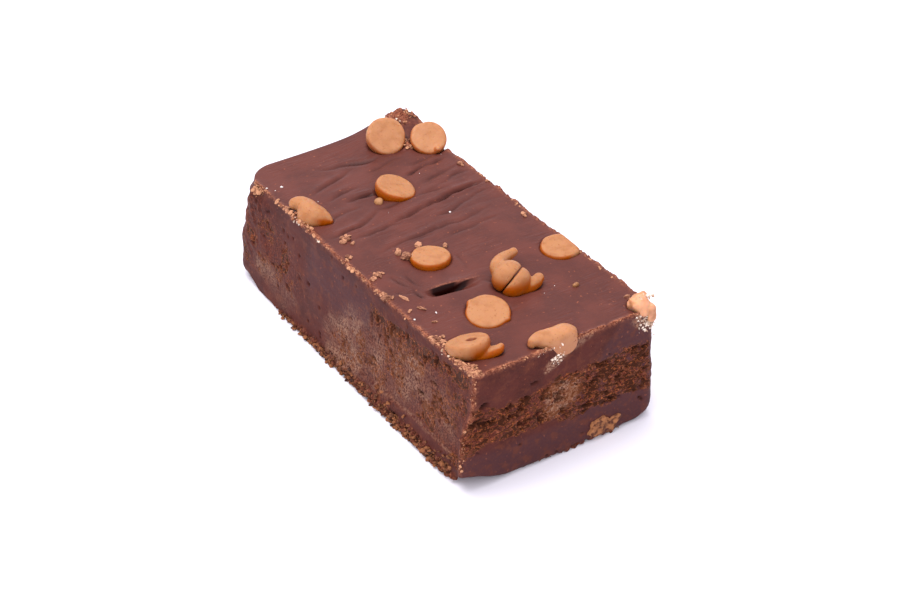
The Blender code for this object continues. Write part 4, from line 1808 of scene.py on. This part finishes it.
class Crumbs:
    """All crumbs on the bar."""

    def __init__(self, form: BarForm, skin: TopSkin) -> None:
        """Keep the form and the top, for heights, and work out where the top's edges are."""
        self.form = form
        self.skin = skin
        self.left = -form.width / 2.0 + form.flare_left
        self.right = form.width / 2.0 - form.flare_right
        self.front = -form.length / 2.0 + form.flare_front

    def top_point(self, x: float, y: float, above: float) -> Point:
        """A point just over the top skin."""
        height = self.skin.height(np.array([x]), np.array([y]))[0]
        return x, y, self.form.height + float(height) + above

    @staticmethod
    def clustered(random: np.random.Generator, run: Run) -> list[float]:
        """Pick places along an edge, gathered in clusters.

        Args:
            random: the crumbs' stream of random numbers.
            run: where they lie and how many there are.

        Returns:
            The places.
        """
        tries = random.uniform(run.start, run.end, run.count * 3)
        spots = on_plane(tries, np.zeros_like(tries))
        likely = smooth_step(-0.35, 0.6, Lattice.fractal(spots, 5.0, run.seed))
        keep = likely > random.uniform(0.0, 1.0, len(tries))
        return tries[keep][:run.count].tolist()

    def edge(self) -> bpy.types.Object:
        """Crumbs clinging to the knife-cut top edges and the upright near edge.

        Returns:
            The piece.
        """
        maker = CrumbMaker(CrumbKind.EDGE, 11)
        self.along_edges(maker)
        self.up_near_edge(maker)
        random = maker.random
        near_chip = Size(0.15, 0.4)
        peak = Heap(110, (21.0, 2.0), (46.6, 1.3), (0.0, 0.8), Size(0.1, 0.34), (23.8, 49.0))
        torn_strip = Heap(30, (17.2, 0.6), (36.0, 44.0), (0.1, 0.7), Size(0.12, 0.35), even=True)
        beside_corner_chip = Heap(45, (self.left + 1.2, 0.7), (-40.3, 1.1), (0.3, 1.5), near_chip)
        beside_left_chip = Heap(46, (self.left + 0.2, 0.4), (16.5, 26.5), (0.0, 0.8), near_chip, even=True)
        for heap in (peak, torn_strip, beside_corner_chip):
            self.pile(maker, heap)
        for _ in range(40):
            place = (self.left - 0.2 + random.normal(0.0, 0.3), random.normal(41.6, 0.9),
                     28.4 + random.normal(0.0, 0.6))
            maker.add(place, Size(0.15, 0.45).draw(random))
        self.pile(maker, beside_left_chip)
        return maker.build()

    def along_edges(self, maker: CrumbMaker) -> None:
        """Lay crumbs along the left, front and right edges of the top.

        Args:
            maker: takes the crumbs.
        """
        random = maker.random
        lines = {Side.LEFT: self.left, Side.FRONT: self.front, Side.RIGHT: self.right}
        runs = (
            Run(Side.LEFT, 91, self.front, 44.0, 260, (0.1, 0.3), (-0.35, 0.3), Size(0.09, 0.36, 3), 1.4),
            Run(Side.FRONT, 92, self.left, self.right - 3.0, 170, (0.1, 0.2), (-0.3, 0.2), Size(0.09, 0.22)),
            Run(Side.RIGHT, 93, self.front, 42.0, 150, (-0.05, 0.25), (-0.4, 0.15), Size(0.1, 0.3)))
        for run in runs:
            for along in self.clustered(random, run):
                across = lines[run.side] + random.normal(*run.past_edge)
                x, y = (along, across) if run.side is Side.FRONT else (across, along)
                place = self.top_point(x, y, random.uniform(*run.above))
                maker.add(place, run.size.draw(random), 0.7, run.length)

    def up_near_edge(self, maker: CrumbMaker) -> None:
        """Lay crumbs up the near edge of the left and front faces, and on the corner over it.

        Args:
            maker: takes the crumbs.
        """
        random = maker.random
        for z in random.uniform(6.5, 28.5, 80):
            share = z / self.form.height
            flare = 2.3 * smooth_step(20.5, 14.5, np.array([z]))[0]
            x = -self.form.width / 2.0 + self.form.flare_left * share - flare + random.normal(0.4, 0.25)
            y = -self.form.length / 2.0 + self.form.flare_front * share + random.normal(0.4, 0.3)
            maker.add((x, y, z), Size(0.06, 0.2).draw(random), 1.4)
        for _ in range(150):
            x, y = self.left + abs(random.normal(0.0, 1.0)), self.front + abs(random.normal(0.0, 2.6))
            place = self.top_point(x, y, random.uniform(-0.1, 0.5))
            maker.add(place, Size(0.12, 0.42).draw(random), 0.7, 1.3)

    def pile(self, maker: CrumbMaker, heap: Heap) -> None:
        """Drop one heap of crumbs on the top.

        Args:
            maker: takes the crumbs.
            heap: where they fall and how big they are.
        """
        random = maker.random
        for _ in range(heap.count):
            x = min(random.normal(*heap.x), heap.furthest[0])
            y = random.uniform(*heap.y) if heap.even else min(random.normal(*heap.y), heap.furthest[1])
            maker.add(self.top_point(x, y, random.uniform(*heap.above)), heap.size.draw(random))

    def fringe(self) -> bpy.types.Object:
        """Dark crumbs pressed out along the foot of the left face, and a few along the front's.

        Returns:
            The piece.
        """
        maker = CrumbMaker(CrumbKind.FRINGE, 12)
        random = maker.random
        for y in random.uniform(-46.5, 30.0, 1500):
            full = smooth_step(32.0, -15.0, np.array([y]))[0]
            if random.uniform() > 0.2 + 0.8 * full:
                continue
            z = 0.15 + abs(random.normal(0.0, 1.0)) * (0.4 + 1.2 * full)
            share = z / self.form.height
            x = -self.form.width / 2.0 + self.form.flare_left * share + random.normal(-0.35, 0.3)
            z += float(self.form.lift(np.array([x]), np.array([y]))[0])
            maker.add((x, y, z), Size(0.1, 0.38).draw(random), 0.8, 1.4)
        for x in random.uniform(-8.0, 16.0, 80):
            y = -self.form.length / 2.0 + 0.7 + random.normal(0.0, 0.15)
            maker.add((x, y, 0.2 + abs(random.normal(0.0, 0.4))), Size(0.08, 0.16).draw(random))
        return maker.build()

    def cream(self) -> bpy.types.Object:
        """Pale flecks of chip and sugar dragged along by the knife where it cut through chips.

        Returns:
            The piece.
        """
        maker = CrumbMaker(CrumbKind.CREAM, 15)
        random = maker.random
        furthest_x = 24.8
        smears = ((-1.6, self.front, 26.0, 0.8, 0.5, 75), (-3.6, self.front + 0.2, 29.0, 1.8, 0.3, 26),
                  (22.6, self.front, 26.2, 1.3, 1.3, 110), (23.2, -50.2, 31.0, 1.1, 0.5, 46),
                  (24.2, -51.4, 26.6, 0.5, 1.8, 60), (21.6, -50.0, 30.4, 0.6, 0.5, 26))
        for x, y, z, wide, tall, count in smears:
            for _ in range(count):
                place = (min(x + random.normal(0, wide), furthest_x), y + random.normal(0.0, 0.15),
                         z + random.normal(0, tall))
                maker.add(place, Size(0.08, 0.26).draw(random), 0.8)
        for _ in range(16):
            place = self.top_point(random.normal(18.9, 0.8), random.normal(45.6, 0.6), 0.2)
            maker.add(place, Size(0.1, 0.2, 1).draw(random))
        for y, spread, count in ((22.4, 1.4, 34), (12.6, 0.6, 22), (-40.6, 1.2, 16)):
            for _ in range(count):
                place = (self.left + random.normal(0.1, 0.2), y + random.normal(0, spread),
                         self.form.height + random.normal(-0.3, 0.35))
                maker.add(place, Size(0.08, 0.26).draw(random), 0.8)
        return maker.build()

    def loose(self) -> bpy.types.Object:
        """Loose crumbs lying on the top: clumps, single crumbs and shavings.

        Returns:
            The piece.
        """
        maker = CrumbMaker(CrumbKind.LOOSE, 13)
        random = maker.random
        furthest_x = 23.2
        clumps = ((-18.6, 8.8, 1.4, 9), (-16.9, 9.5, 0.8, 5), (-19.9, -7.8, 0.9, 5),
                  (-18.3, -7.8, 0.6, 4), (-21.6, -8.7, 0.6, 3), (-22.5, -16.0, 1.2, 12),
                  (-21.9, -35.8, 1.2, 14), (22.8, -5.0, 0.8, 6), (24.0, 22.5, 0.8, 6),
                  (-21.0, 2.0, 0.8, 4), (-10.4, -5.4, 0.8, 6), (-22.4, 28.5, 1.0, 8),
                  (21.5, -47.6, 1.8, 12))
        for x, y, spread, count in clumps:
            for _ in range(count):
                near_x = min(x + random.normal(0, spread * 0.5), furthest_x)
                place = self.top_point(near_x, y + random.normal(0, spread * 0.5), 0.15)
                maker.add(place, random.uniform(0.22, 0.6))
        singles = ((-10.9, -2.6, 0.95), (-10.2, -5.2, 1.0), (-9.6, -6.2, 0.7), (-5.3, -2.3, 0.8),
                   (-0.3, -5.9, 0.6), (-22.8, -17.0, 0.9))
        for x, y, size in singles:
            maker.add(self.top_point(x, y, 0.45 * size), size, 0.8)
        shavings = ((-19.4, -18.9, 0.28, 4.5), (-18.4, -24.1, 0.42, 2.4), (-21.0, -23.7, 0.34, 2.0),
                    (-18.7, -30.2, 0.4, 2.2), (-19.2, -8.2, 0.3, 3.4), (-18.4, 9.4, 0.35, 3.2))
        for x, y, size, length in shavings:
            maker.add(self.top_point(x, y, 0.2), size, 0.6, length)
        return maker.build()

    def sugar(self) -> bpy.types.Object:
        """White grains of sugar.

        Returns:
            The piece.
        """
        maker = CrumbMaker(CrumbKind.SUGAR, 14, 1)
        random = maker.random
        for x, y in ((-18.6, 37.9), (-22.0, 39.1), (-16.6, -27.5), (-21.9, -27.0), (9.0, 6.0)):
            maker.add(self.top_point(x, y, 0.1), random.uniform(0.2, 0.32))
        for _ in range(8):
            place = self.top_point(random.uniform(-22, 22), random.uniform(-48, 44), 0.03)
            maker.add(place, random.uniform(0.08, 0.14))
        return maker.build()

    def lumps(self) -> bpy.types.Object:
        """Small drops of chip half sunk in the top.

        Returns:
            The piece.
        """
        maker = CrumbMaker(CrumbKind.LUMP, 16, 3, 0.12)
        maker.add(self.top_point(-3.0, 18.7, 0.2), 1.1, 0.9)
        maker.add(self.top_point(15.2, -35.3, 0.05), 0.8, 0.8)
        return maker.build()


# ---------------- finishes


@dataclass(frozen=True)
class FudgeFinish:
    """Chocolate fudge: cooked sugar, cocoa and butter, poured, set and knife-cut.

    The poured skin is satin with a slight fat sheen; the cut shows a dull, crumbly grain with paler sugar
    dust on its high spots; torn edges are a lighter, warmer brown.
    Hollows, holes, gaps, creases and the split are darkened with painted shade; the rims of holes and the
    split's lip are lightened with painted highlight; a bluish grey on the cut faces is painted sheen and
    reflection, over a grey smear on the left face.
    """

    skin: str = "#5a2f28"
    skin_dark: str = "#4e2924"
    cut: str = "#4b201a"
    cut_dark: str = "#401a15"
    # Dark of the crumb grain, also used as painted shade in holes and pits.
    crumb_dark_and_shade: str = "#220702"
    crumb_mid: str = "#5e2a1b"
    crumb_light: str = "#985438"
    # burr: colour of torn edges, also the painted highlight on the split's lip and on ridges beside hollows.
    burr: str = "#a4664a"
    # rim: painted highlight, a lighter orange ring round the edge of each torn hole.
    rim: str = "#b0622e"
    # deep: near-black painted shade for the creases and the split's hollow.
    deep: str = "#1c0402"
    pale: str = "#94705a"
    # smear_and_sheen: bluish grey for painted sheen and reflection on the cut faces, and a grey smear on the
    # left.
    smear_and_sheen: str = "#44272a"
    mottled: str = "#5f3020"
    hole_mm: float = 1.05
    front_squeeze: Point = (0.75, 1.0, 1.5)
    left_squeeze: Point = (1.1, 1.1, 0.9)
    ior: float = 1.47
    specular: float = 0.12
    satin: float = 0.36
    dull: float = 0.85
    # The sugar's own crystals are under 0.1 mm; "grain" draws them as the smallest crumbs that show.
    patterns: dict[str, Pattern] = field(default_factory=lambda: {
        "cloud": Pattern(7.0, 4.0), "grain": Pattern(0.5, 3.0, 0.65), "fine": Pattern(1.4, 4.0),
        "fleck": Pattern(0.9, 1.0), "mottle": Pattern(2.6, 3.0), "speck": Pattern(0.8, 1.0),
        "patches": Pattern(9.0, 2.0), "drawn": Pattern(0.9, 2.0, squeeze=(0.22, 1.0, 1.0)),
        "pebbled": Pattern(1.2, 4.0, 0.65)})

    def material(self) -> bpy.types.Material:
        """Make the material."""
        fudge = Surface("chocolate_fudge", MASKS, self.patterns)
        self.find_holes(fudge)
        fudge.sockets["cut_tone"] = fudge.layered(self.cut_dark, (
            (self.cut, Spread((), "cloud", (0.35, 0.6))),))
        fudge.sockets["crumb_tone"] = fudge.layered(self.crumb_dark_and_shade, (
            (self.crumb_mid, Spread((), "grain", (0.36, 0.52))),
            (self.crumb_light, Spread((), "grain", (0.55, 0.68)))))
        fudge.sockets["torn_tone"] = fudge.layered(self.crumb_mid, (
            (self.burr, Spread((), "grain", (0.38, 0.6))),))
        colour = fudge.layered(self.skin_dark, (
            (self.skin, Spread((), "cloud", (0.35, 0.65))),
            ("cut_tone", Spread(("wall",))),
            # Painted bluish sheen and reflection, over a grey smear on the left face.
            (self.smear_and_sheen, Spread(("smear_and_sheen",))),
            (self.crumb_light, Spread(("top",), "fleck", (0.7, 0.78), 0.5)),
            (self.mottled, Spread((), "grain", (0.42, 0.62), 0.22)),
            (self.mottled, Spread(("wall",), "mottle", (0.48, 0.68), 0.6)),
            ("crumb_tone", Spread(("crumb",), "fine", (0.36, 0.58))),
            (self.pale, Spread(("pale",), "grain", (0.36, 0.62))),
            # Painted highlight round the edges of the torn holes.
            (self.rim, Spread(("torn_here",), "holes", (0.545, 0.575), 0.75)),
            # Painted shade in the cores of the torn holes.
            (self.crumb_dark_and_shade, Spread(("opened",), strength=0.92)),
            (self.crumb_light, Spread(("wall",), "speck", (0.68, 0.76), 0.35)),
            # Painted shade in pits, holes and the gaps between crumbs.
            (self.crumb_dark_and_shade, Spread(("pit_shade",), strength=0.85)),
            # Torn edges, and painted highlight on the split's lip and on ridges beside hollows.
            ("torn_tone", Spread(("burr",))),
            # Painted shade in the creases and the split's hollow.
            (self.deep, Spread(("crease",)))))
        return fudge.finish({"Base Color": colour, "Roughness": self.roughness(fudge), "IOR": self.ior,
                             "Specular IOR Level": self.specular}, self.grains(fudge))

    def find_holes(self, fudge: Surface) -> None:
        """Make the pattern of small torn holes, drawn out along the front face and up the left face.

        Args:
            fudge: the material, which gains "top", "holes", "torn_here" and "opened".
        """
        tree, sockets = fudge.tree, fudge.sockets
        sockets["top"] = add_node(tree, "Math", {0: 1.0, 1: sockets["wall"]}, operation="SUBTRACT")[0]
        left, front = (
            add_node(tree, "VectorMath", {0: sockets["place"], 1: squeeze}, operation="MULTIPLY")[0]
            for squeeze in (self.left_squeeze, self.front_squeeze))
        place = add_node(tree, "Mix", {0: sockets["front"], 6: left, 7: front}, data_type="RGBA")[2]
        torn = add_node(tree, "TexNoise", {"Vector": place, "Scale": per_mm(self.hole_mm), "Detail": 2.0,
                                           "Roughness": 0.5, "Distortion": 0.7})["Fac"]
        widened = {0: sockets["holey"], 1: 0.15, 2: torn}
        sockets["holes"] = add_node(tree, "Math", widened, operation="MULTIPLY_ADD")[0]
        # Dust from the knife fills most of the holes that it covers.
        undusted = {0: sockets["pale"], 1: -0.65, 2: 1.0}
        sockets["undusted"] = add_node(tree, "Math", undusted, operation="MULTIPLY_ADD")[0]
        sockets["torn_here"] = fudge.share(Spread(("undusted",), "holey", (0.05, 0.3)))
        # opened: the holes' cores, which get painted shade; their relief is sunk too.
        sockets["opened"] = fudge.share(Spread(("torn_here",), "holes", (0.575, 0.6)))

    def roughness(self, fudge: Surface) -> bpy.types.NodeSocket:
        """Satin on the poured skin, duller on the cut and dullest on crumbs."""
        on_wall = fudge.share(Spread(("wall",), strength=0.45))
        either = {0: fudge.sockets["crumb"], 1: on_wall}
        dullness = add_node(fudge.tree, "Math", either, operation="MAXIMUM")[0]
        span = {"Value": dullness, "To Min": self.satin, "To Max": self.dull}
        return add_node(fudge.tree, "MapRange", span)[0]

    @staticmethod
    def grains(fudge: Surface) -> tuple[Grain, ...]:
        """Relief too fine for the mesh: strong where crumbly, faint and drawn out on the skin.

        Args:
            fudge: the material, which gains "crumbly" and "on_skin".

        Returns:
            The layers of relief.
        """
        tree, sockets = fudge.tree, fudge.sockets
        rough = add_node(tree, "Math", {0: sockets["crumb"], 1: sockets["burr"]}, operation="MAXIMUM")[0]
        sockets["crumbly"] = add_node(tree, "MapRange", {"Value": rough, "To Min": 0.04, "To Max": 0.9})[0]
        sockets["most_top"] = add_node(tree, "Math", {0: 0.75, 1: sockets["wall"]}, operation="SUBTRACT")[0]
        sockets["on_skin"] = fudge.share(Spread(("most_top",), "patches", (0.45, 0.62)))
        return (Grain("grain", 0.4, "crumbly"), Grain("opened", 0.5, 0.8, sunk=True),
                Grain("drawn", 0.22, "on_skin"), Grain("pebbled", 0.12, 0.35))


@dataclass(frozen=True)
class ChipFinish:
    """Baking chip of sugar, palm fat and nut flour, moulded.

    A smooth satin tan that lets light in a little, with fine darker specks of nut. Low on its sides it is
    painted a deeper orange: painted shade and glow, from which way each point faces and how near it lies
    over the fudge. Where the knife went through, it is browner and dull, and where sugar dust clings, it is
    paler.
    """

    face: str = "#a4704a"
    # side: painted shade and glow, the deeper orange low on the chips' sides.
    side: str = "#984600"
    sliced: str = "#8e5c44"
    dusty: str = "#ce9672"
    speck: str = "#824a24"
    # stain: darker reddish brown inside the chips' dents.
    stain: str = "#6a3018"
    ior: float = 1.46
    specular: float = 0.13
    roughness: float = 0.4
    light_in: float = 0.3
    light_in_mm: float = 0.7
    light_in_colours: Point = (1.0, 0.36, 0.1)
    patterns: dict[str, Pattern] = field(default_factory=lambda: {
        "cloud": Pattern(2.2, 3.0), "dots": Pattern(0.6, 1.0), "bloom": Pattern(0.9, 4.0)})

    def material(self) -> bpy.types.Material:
        """Make the material."""
        chip = Surface("baking_chip_tan", ("painted_side_shade", "cut", "chalky", "spot"), self.patterns)
        colour = chip.layered(self.face, (
            # Painted shade and glow low on the sides.
            (self.side, Spread(("painted_side_shade",))),
            (self.speck, Spread((), "cloud", (0.42, 0.7), 0.35)),
            (self.speck, Spread((), "dots", (0.62, 0.74), 0.6)),
            (self.sliced, Spread(("cut",), strength=0.5)),
            (self.dusty, Spread(("chalky",))),
            (self.stain, Spread(("spot",)))))
        return chip.finish({"Base Color": colour, "Roughness": self.roughness, "IOR": self.ior,
                            "Specular IOR Level": self.specular, "Subsurface Weight": self.light_in,
                            "Subsurface Radius": self.light_in_colours,
                            "Subsurface Scale": self.light_in_mm * MM}, [Grain("bloom", 0.08, 0.5)])


@dataclass(frozen=True)
class CrumbFinish:
    """Fudge, chip or sugar crumbs: dull grains of one family of colours, each its own shade."""

    name: str
    dark: str
    light: str
    roughness: float = 0.8
    specular: float = 0.3

    def material(self) -> bpy.types.Material:
        """Make the material."""
        crumb = Surface(self.name, ("shade",), {"grain": Pattern(0.4, 3.0)})
        own_shade = {0: crumb.sockets["shade"], 1: 0.6, 2: crumb.sockets["grain"]}
        crumb.sockets["tone"] = add_node(crumb.tree, "Math", own_shade, operation="MULTIPLY_ADD")[0]
        colour = crumb.layered(self.dark, [(self.light, Spread((), "tone", (0.45, 1.0)))])
        return crumb.finish({"Base Color": colour, "Roughness": self.roughness,
                             "Specular IOR Level": self.specular}, [Grain("grain", 0.15, 0.6)])


# ---------------- studio


@dataclass
class Studio:
    """White sweep, soft overhead light and the camera."""

    azimuth: float = -33.0
    elevation: float = 34.37
    roll: float = -0.42
    distance: float = 441.5
    lens: float = 75.3
    aim: Point = (1.52, -5.12, 13.39)
    sensor_mm: float = 36.0
    floor_half: float = 3000.0
    paper: str = "#dfdde4"
    paper_roughness: float = 0.9
    sky_colour: tuple[float, float, float, float] = (0.96, 0.93, 1.02, 1.0)
    sky_strength: float = 1.15
    lamp_size: float = 600.0
    lamp_power: float = 5.0
    lamp_place: Point = (-90.0, 110.0, 640.0)
    fill_size: float = 400.0
    fill_power: float = 0.9
    fill_place: Point = (-250.0, -380.0, 330.0)

    def floor(self) -> None:
        """Lay a plain white floor."""
        half = self.floor_half
        mesh = bpy.data.meshes.new("floor")
        corners = [(-half, -half, 0.0), (half, -half, 0.0), (half, half, 0.0), (-half, half, 0.0)]
        mesh.from_pydata([tuple(c * MM for c in corner) for corner in corners], [], [(0, 1, 2, 3)])
        floor = bpy.data.objects.new("floor", mesh)
        bpy.context.scene.collection.objects.link(floor)
        paper = Surface("matt_white_paper")
        looks = {"Base Color": linear(self.paper), "Roughness": self.paper_roughness}
        mesh.materials.append(paper.finish(looks))

    def lights(self) -> None:
        """White surroundings and one big soft light over the bar."""
        world = bpy.data.worlds.new("white_tent")
        world.use_nodes = True
        sky = world.node_tree.nodes["Background"]
        feed(world.node_tree, sky, {"Color": self.sky_colour, "Strength": self.sky_strength})
        bpy.context.scene.world = world
        self.lamp("overhead", self.lamp_place, self.lamp_size, self.lamp_power)
        self.lamp("front_fill", self.fill_place, self.fill_size, self.fill_power)

    @staticmethod
    def lamp(name: str, place: Point, size: float, power: float) -> None:
        """Hang one soft square lamp, facing the bar.

        Args:
            name: the lamp's name.
            place: where it hangs.
            size: length of its side.
            power: in watts.
        """
        lamp = bpy.data.lights.new(name, "AREA")
        lamp.size = size * MM
        lamp.energy = power
        light = bpy.data.objects.new(name, lamp)
        light.location = Vector(place) * MM
        towards_bar = Vector((0.0, 0.0, 15.0)) - Vector(place)
        light.rotation_euler = towards_bar.to_track_quat("-Z", "Y").to_euler()
        bpy.context.scene.collection.objects.link(light)

    def camera(self) -> None:
        """Set the camera."""
        turn, rise = math.radians(self.azimuth), math.radians(self.elevation)
        back = Vector((math.sin(turn) * math.cos(rise), -math.cos(turn) * math.cos(rise), math.sin(rise)))
        lens = bpy.data.cameras.new("camera")
        lens.lens = self.lens
        lens.sensor_width = self.sensor_mm
        lens.clip_start = 0.01
        camera = bpy.data.objects.new("camera", lens)
        camera.location = (Vector(self.aim) + back * self.distance) * MM
        facing = back.to_track_quat("Z", "Y").to_matrix().to_4x4()
        camera.rotation_euler = (facing @ Matrix.Rotation(math.radians(self.roll), 4, "Z")).to_euler()
        bpy.context.scene.collection.objects.link(camera)
        bpy.context.scene.camera = camera

    def build(self) -> None:
        """Set up floor, lights and camera."""
        self.floor()
        self.lights()
        self.camera()
        bpy.context.scene.view_settings.view_transform = "Standard"


def main() -> None:
    """Build every piece, dress it and report it."""
    logging.basicConfig(level=logging.INFO, format="%(message)s")
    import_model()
    Studio().build()

    form = BarForm()
    bar = FudgeBar(form, MeshPlan(), CHIPS)
    piece = bar.build()
    piece.data.materials.append(FudgeFinish().material())
    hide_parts("fudge")
    LOG.info("fudge bar: %d faces", len(piece.data.polygons))

    tan = ChipFinish().material()
    for chip in CHIPS:
        made = chip.build(form)
        made.data.materials.append(tan)
        LOG.info("%s: %d faces", chip.node, len(made.data.polygons))
    fragment = Fragment().build(form)
    fragment.data.materials.append(CrumbFinish("cut_chip_ochre", "#4a2212", "#96603a", 0.7).material())

    crumbs = Crumbs(form, bar.skin)
    finishes = {
        CrumbKind.EDGE: CrumbFinish("torn_fudge", "#6e3828", "#b4805e"),
        CrumbKind.FRINGE: CrumbFinish("pressed_crumbs", "#2e0f08", "#84502f"),
        CrumbKind.LOOSE: CrumbFinish("loose_fudge", "#603424", "#ae7a5c"),
        CrumbKind.LUMP: CrumbFinish("small_chip_drop", "#6e4224", "#9a6a42", 0.45),
        CrumbKind.SUGAR: CrumbFinish("sugar", "#b8a8a0", "#e8e0dc", 0.4),
        CrumbKind.CREAM: CrumbFinish("dragged_chip", "#a88468", "#ecdccc", 0.6),
    }
    for kind, made in ((CrumbKind.EDGE, crumbs.edge()), (CrumbKind.FRINGE, crumbs.fringe()),
                       (CrumbKind.LOOSE, crumbs.loose()), (CrumbKind.SUGAR, crumbs.sugar()),
                       (CrumbKind.CREAM, crumbs.cream()), (CrumbKind.LUMP, crumbs.lumps())):
        made.data.materials.append(finishes[kind].material())
        LOG.info("%s: %d faces", kind.value, len(made.data.polygons))

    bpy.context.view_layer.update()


if __name__ == "__main__":
    main()
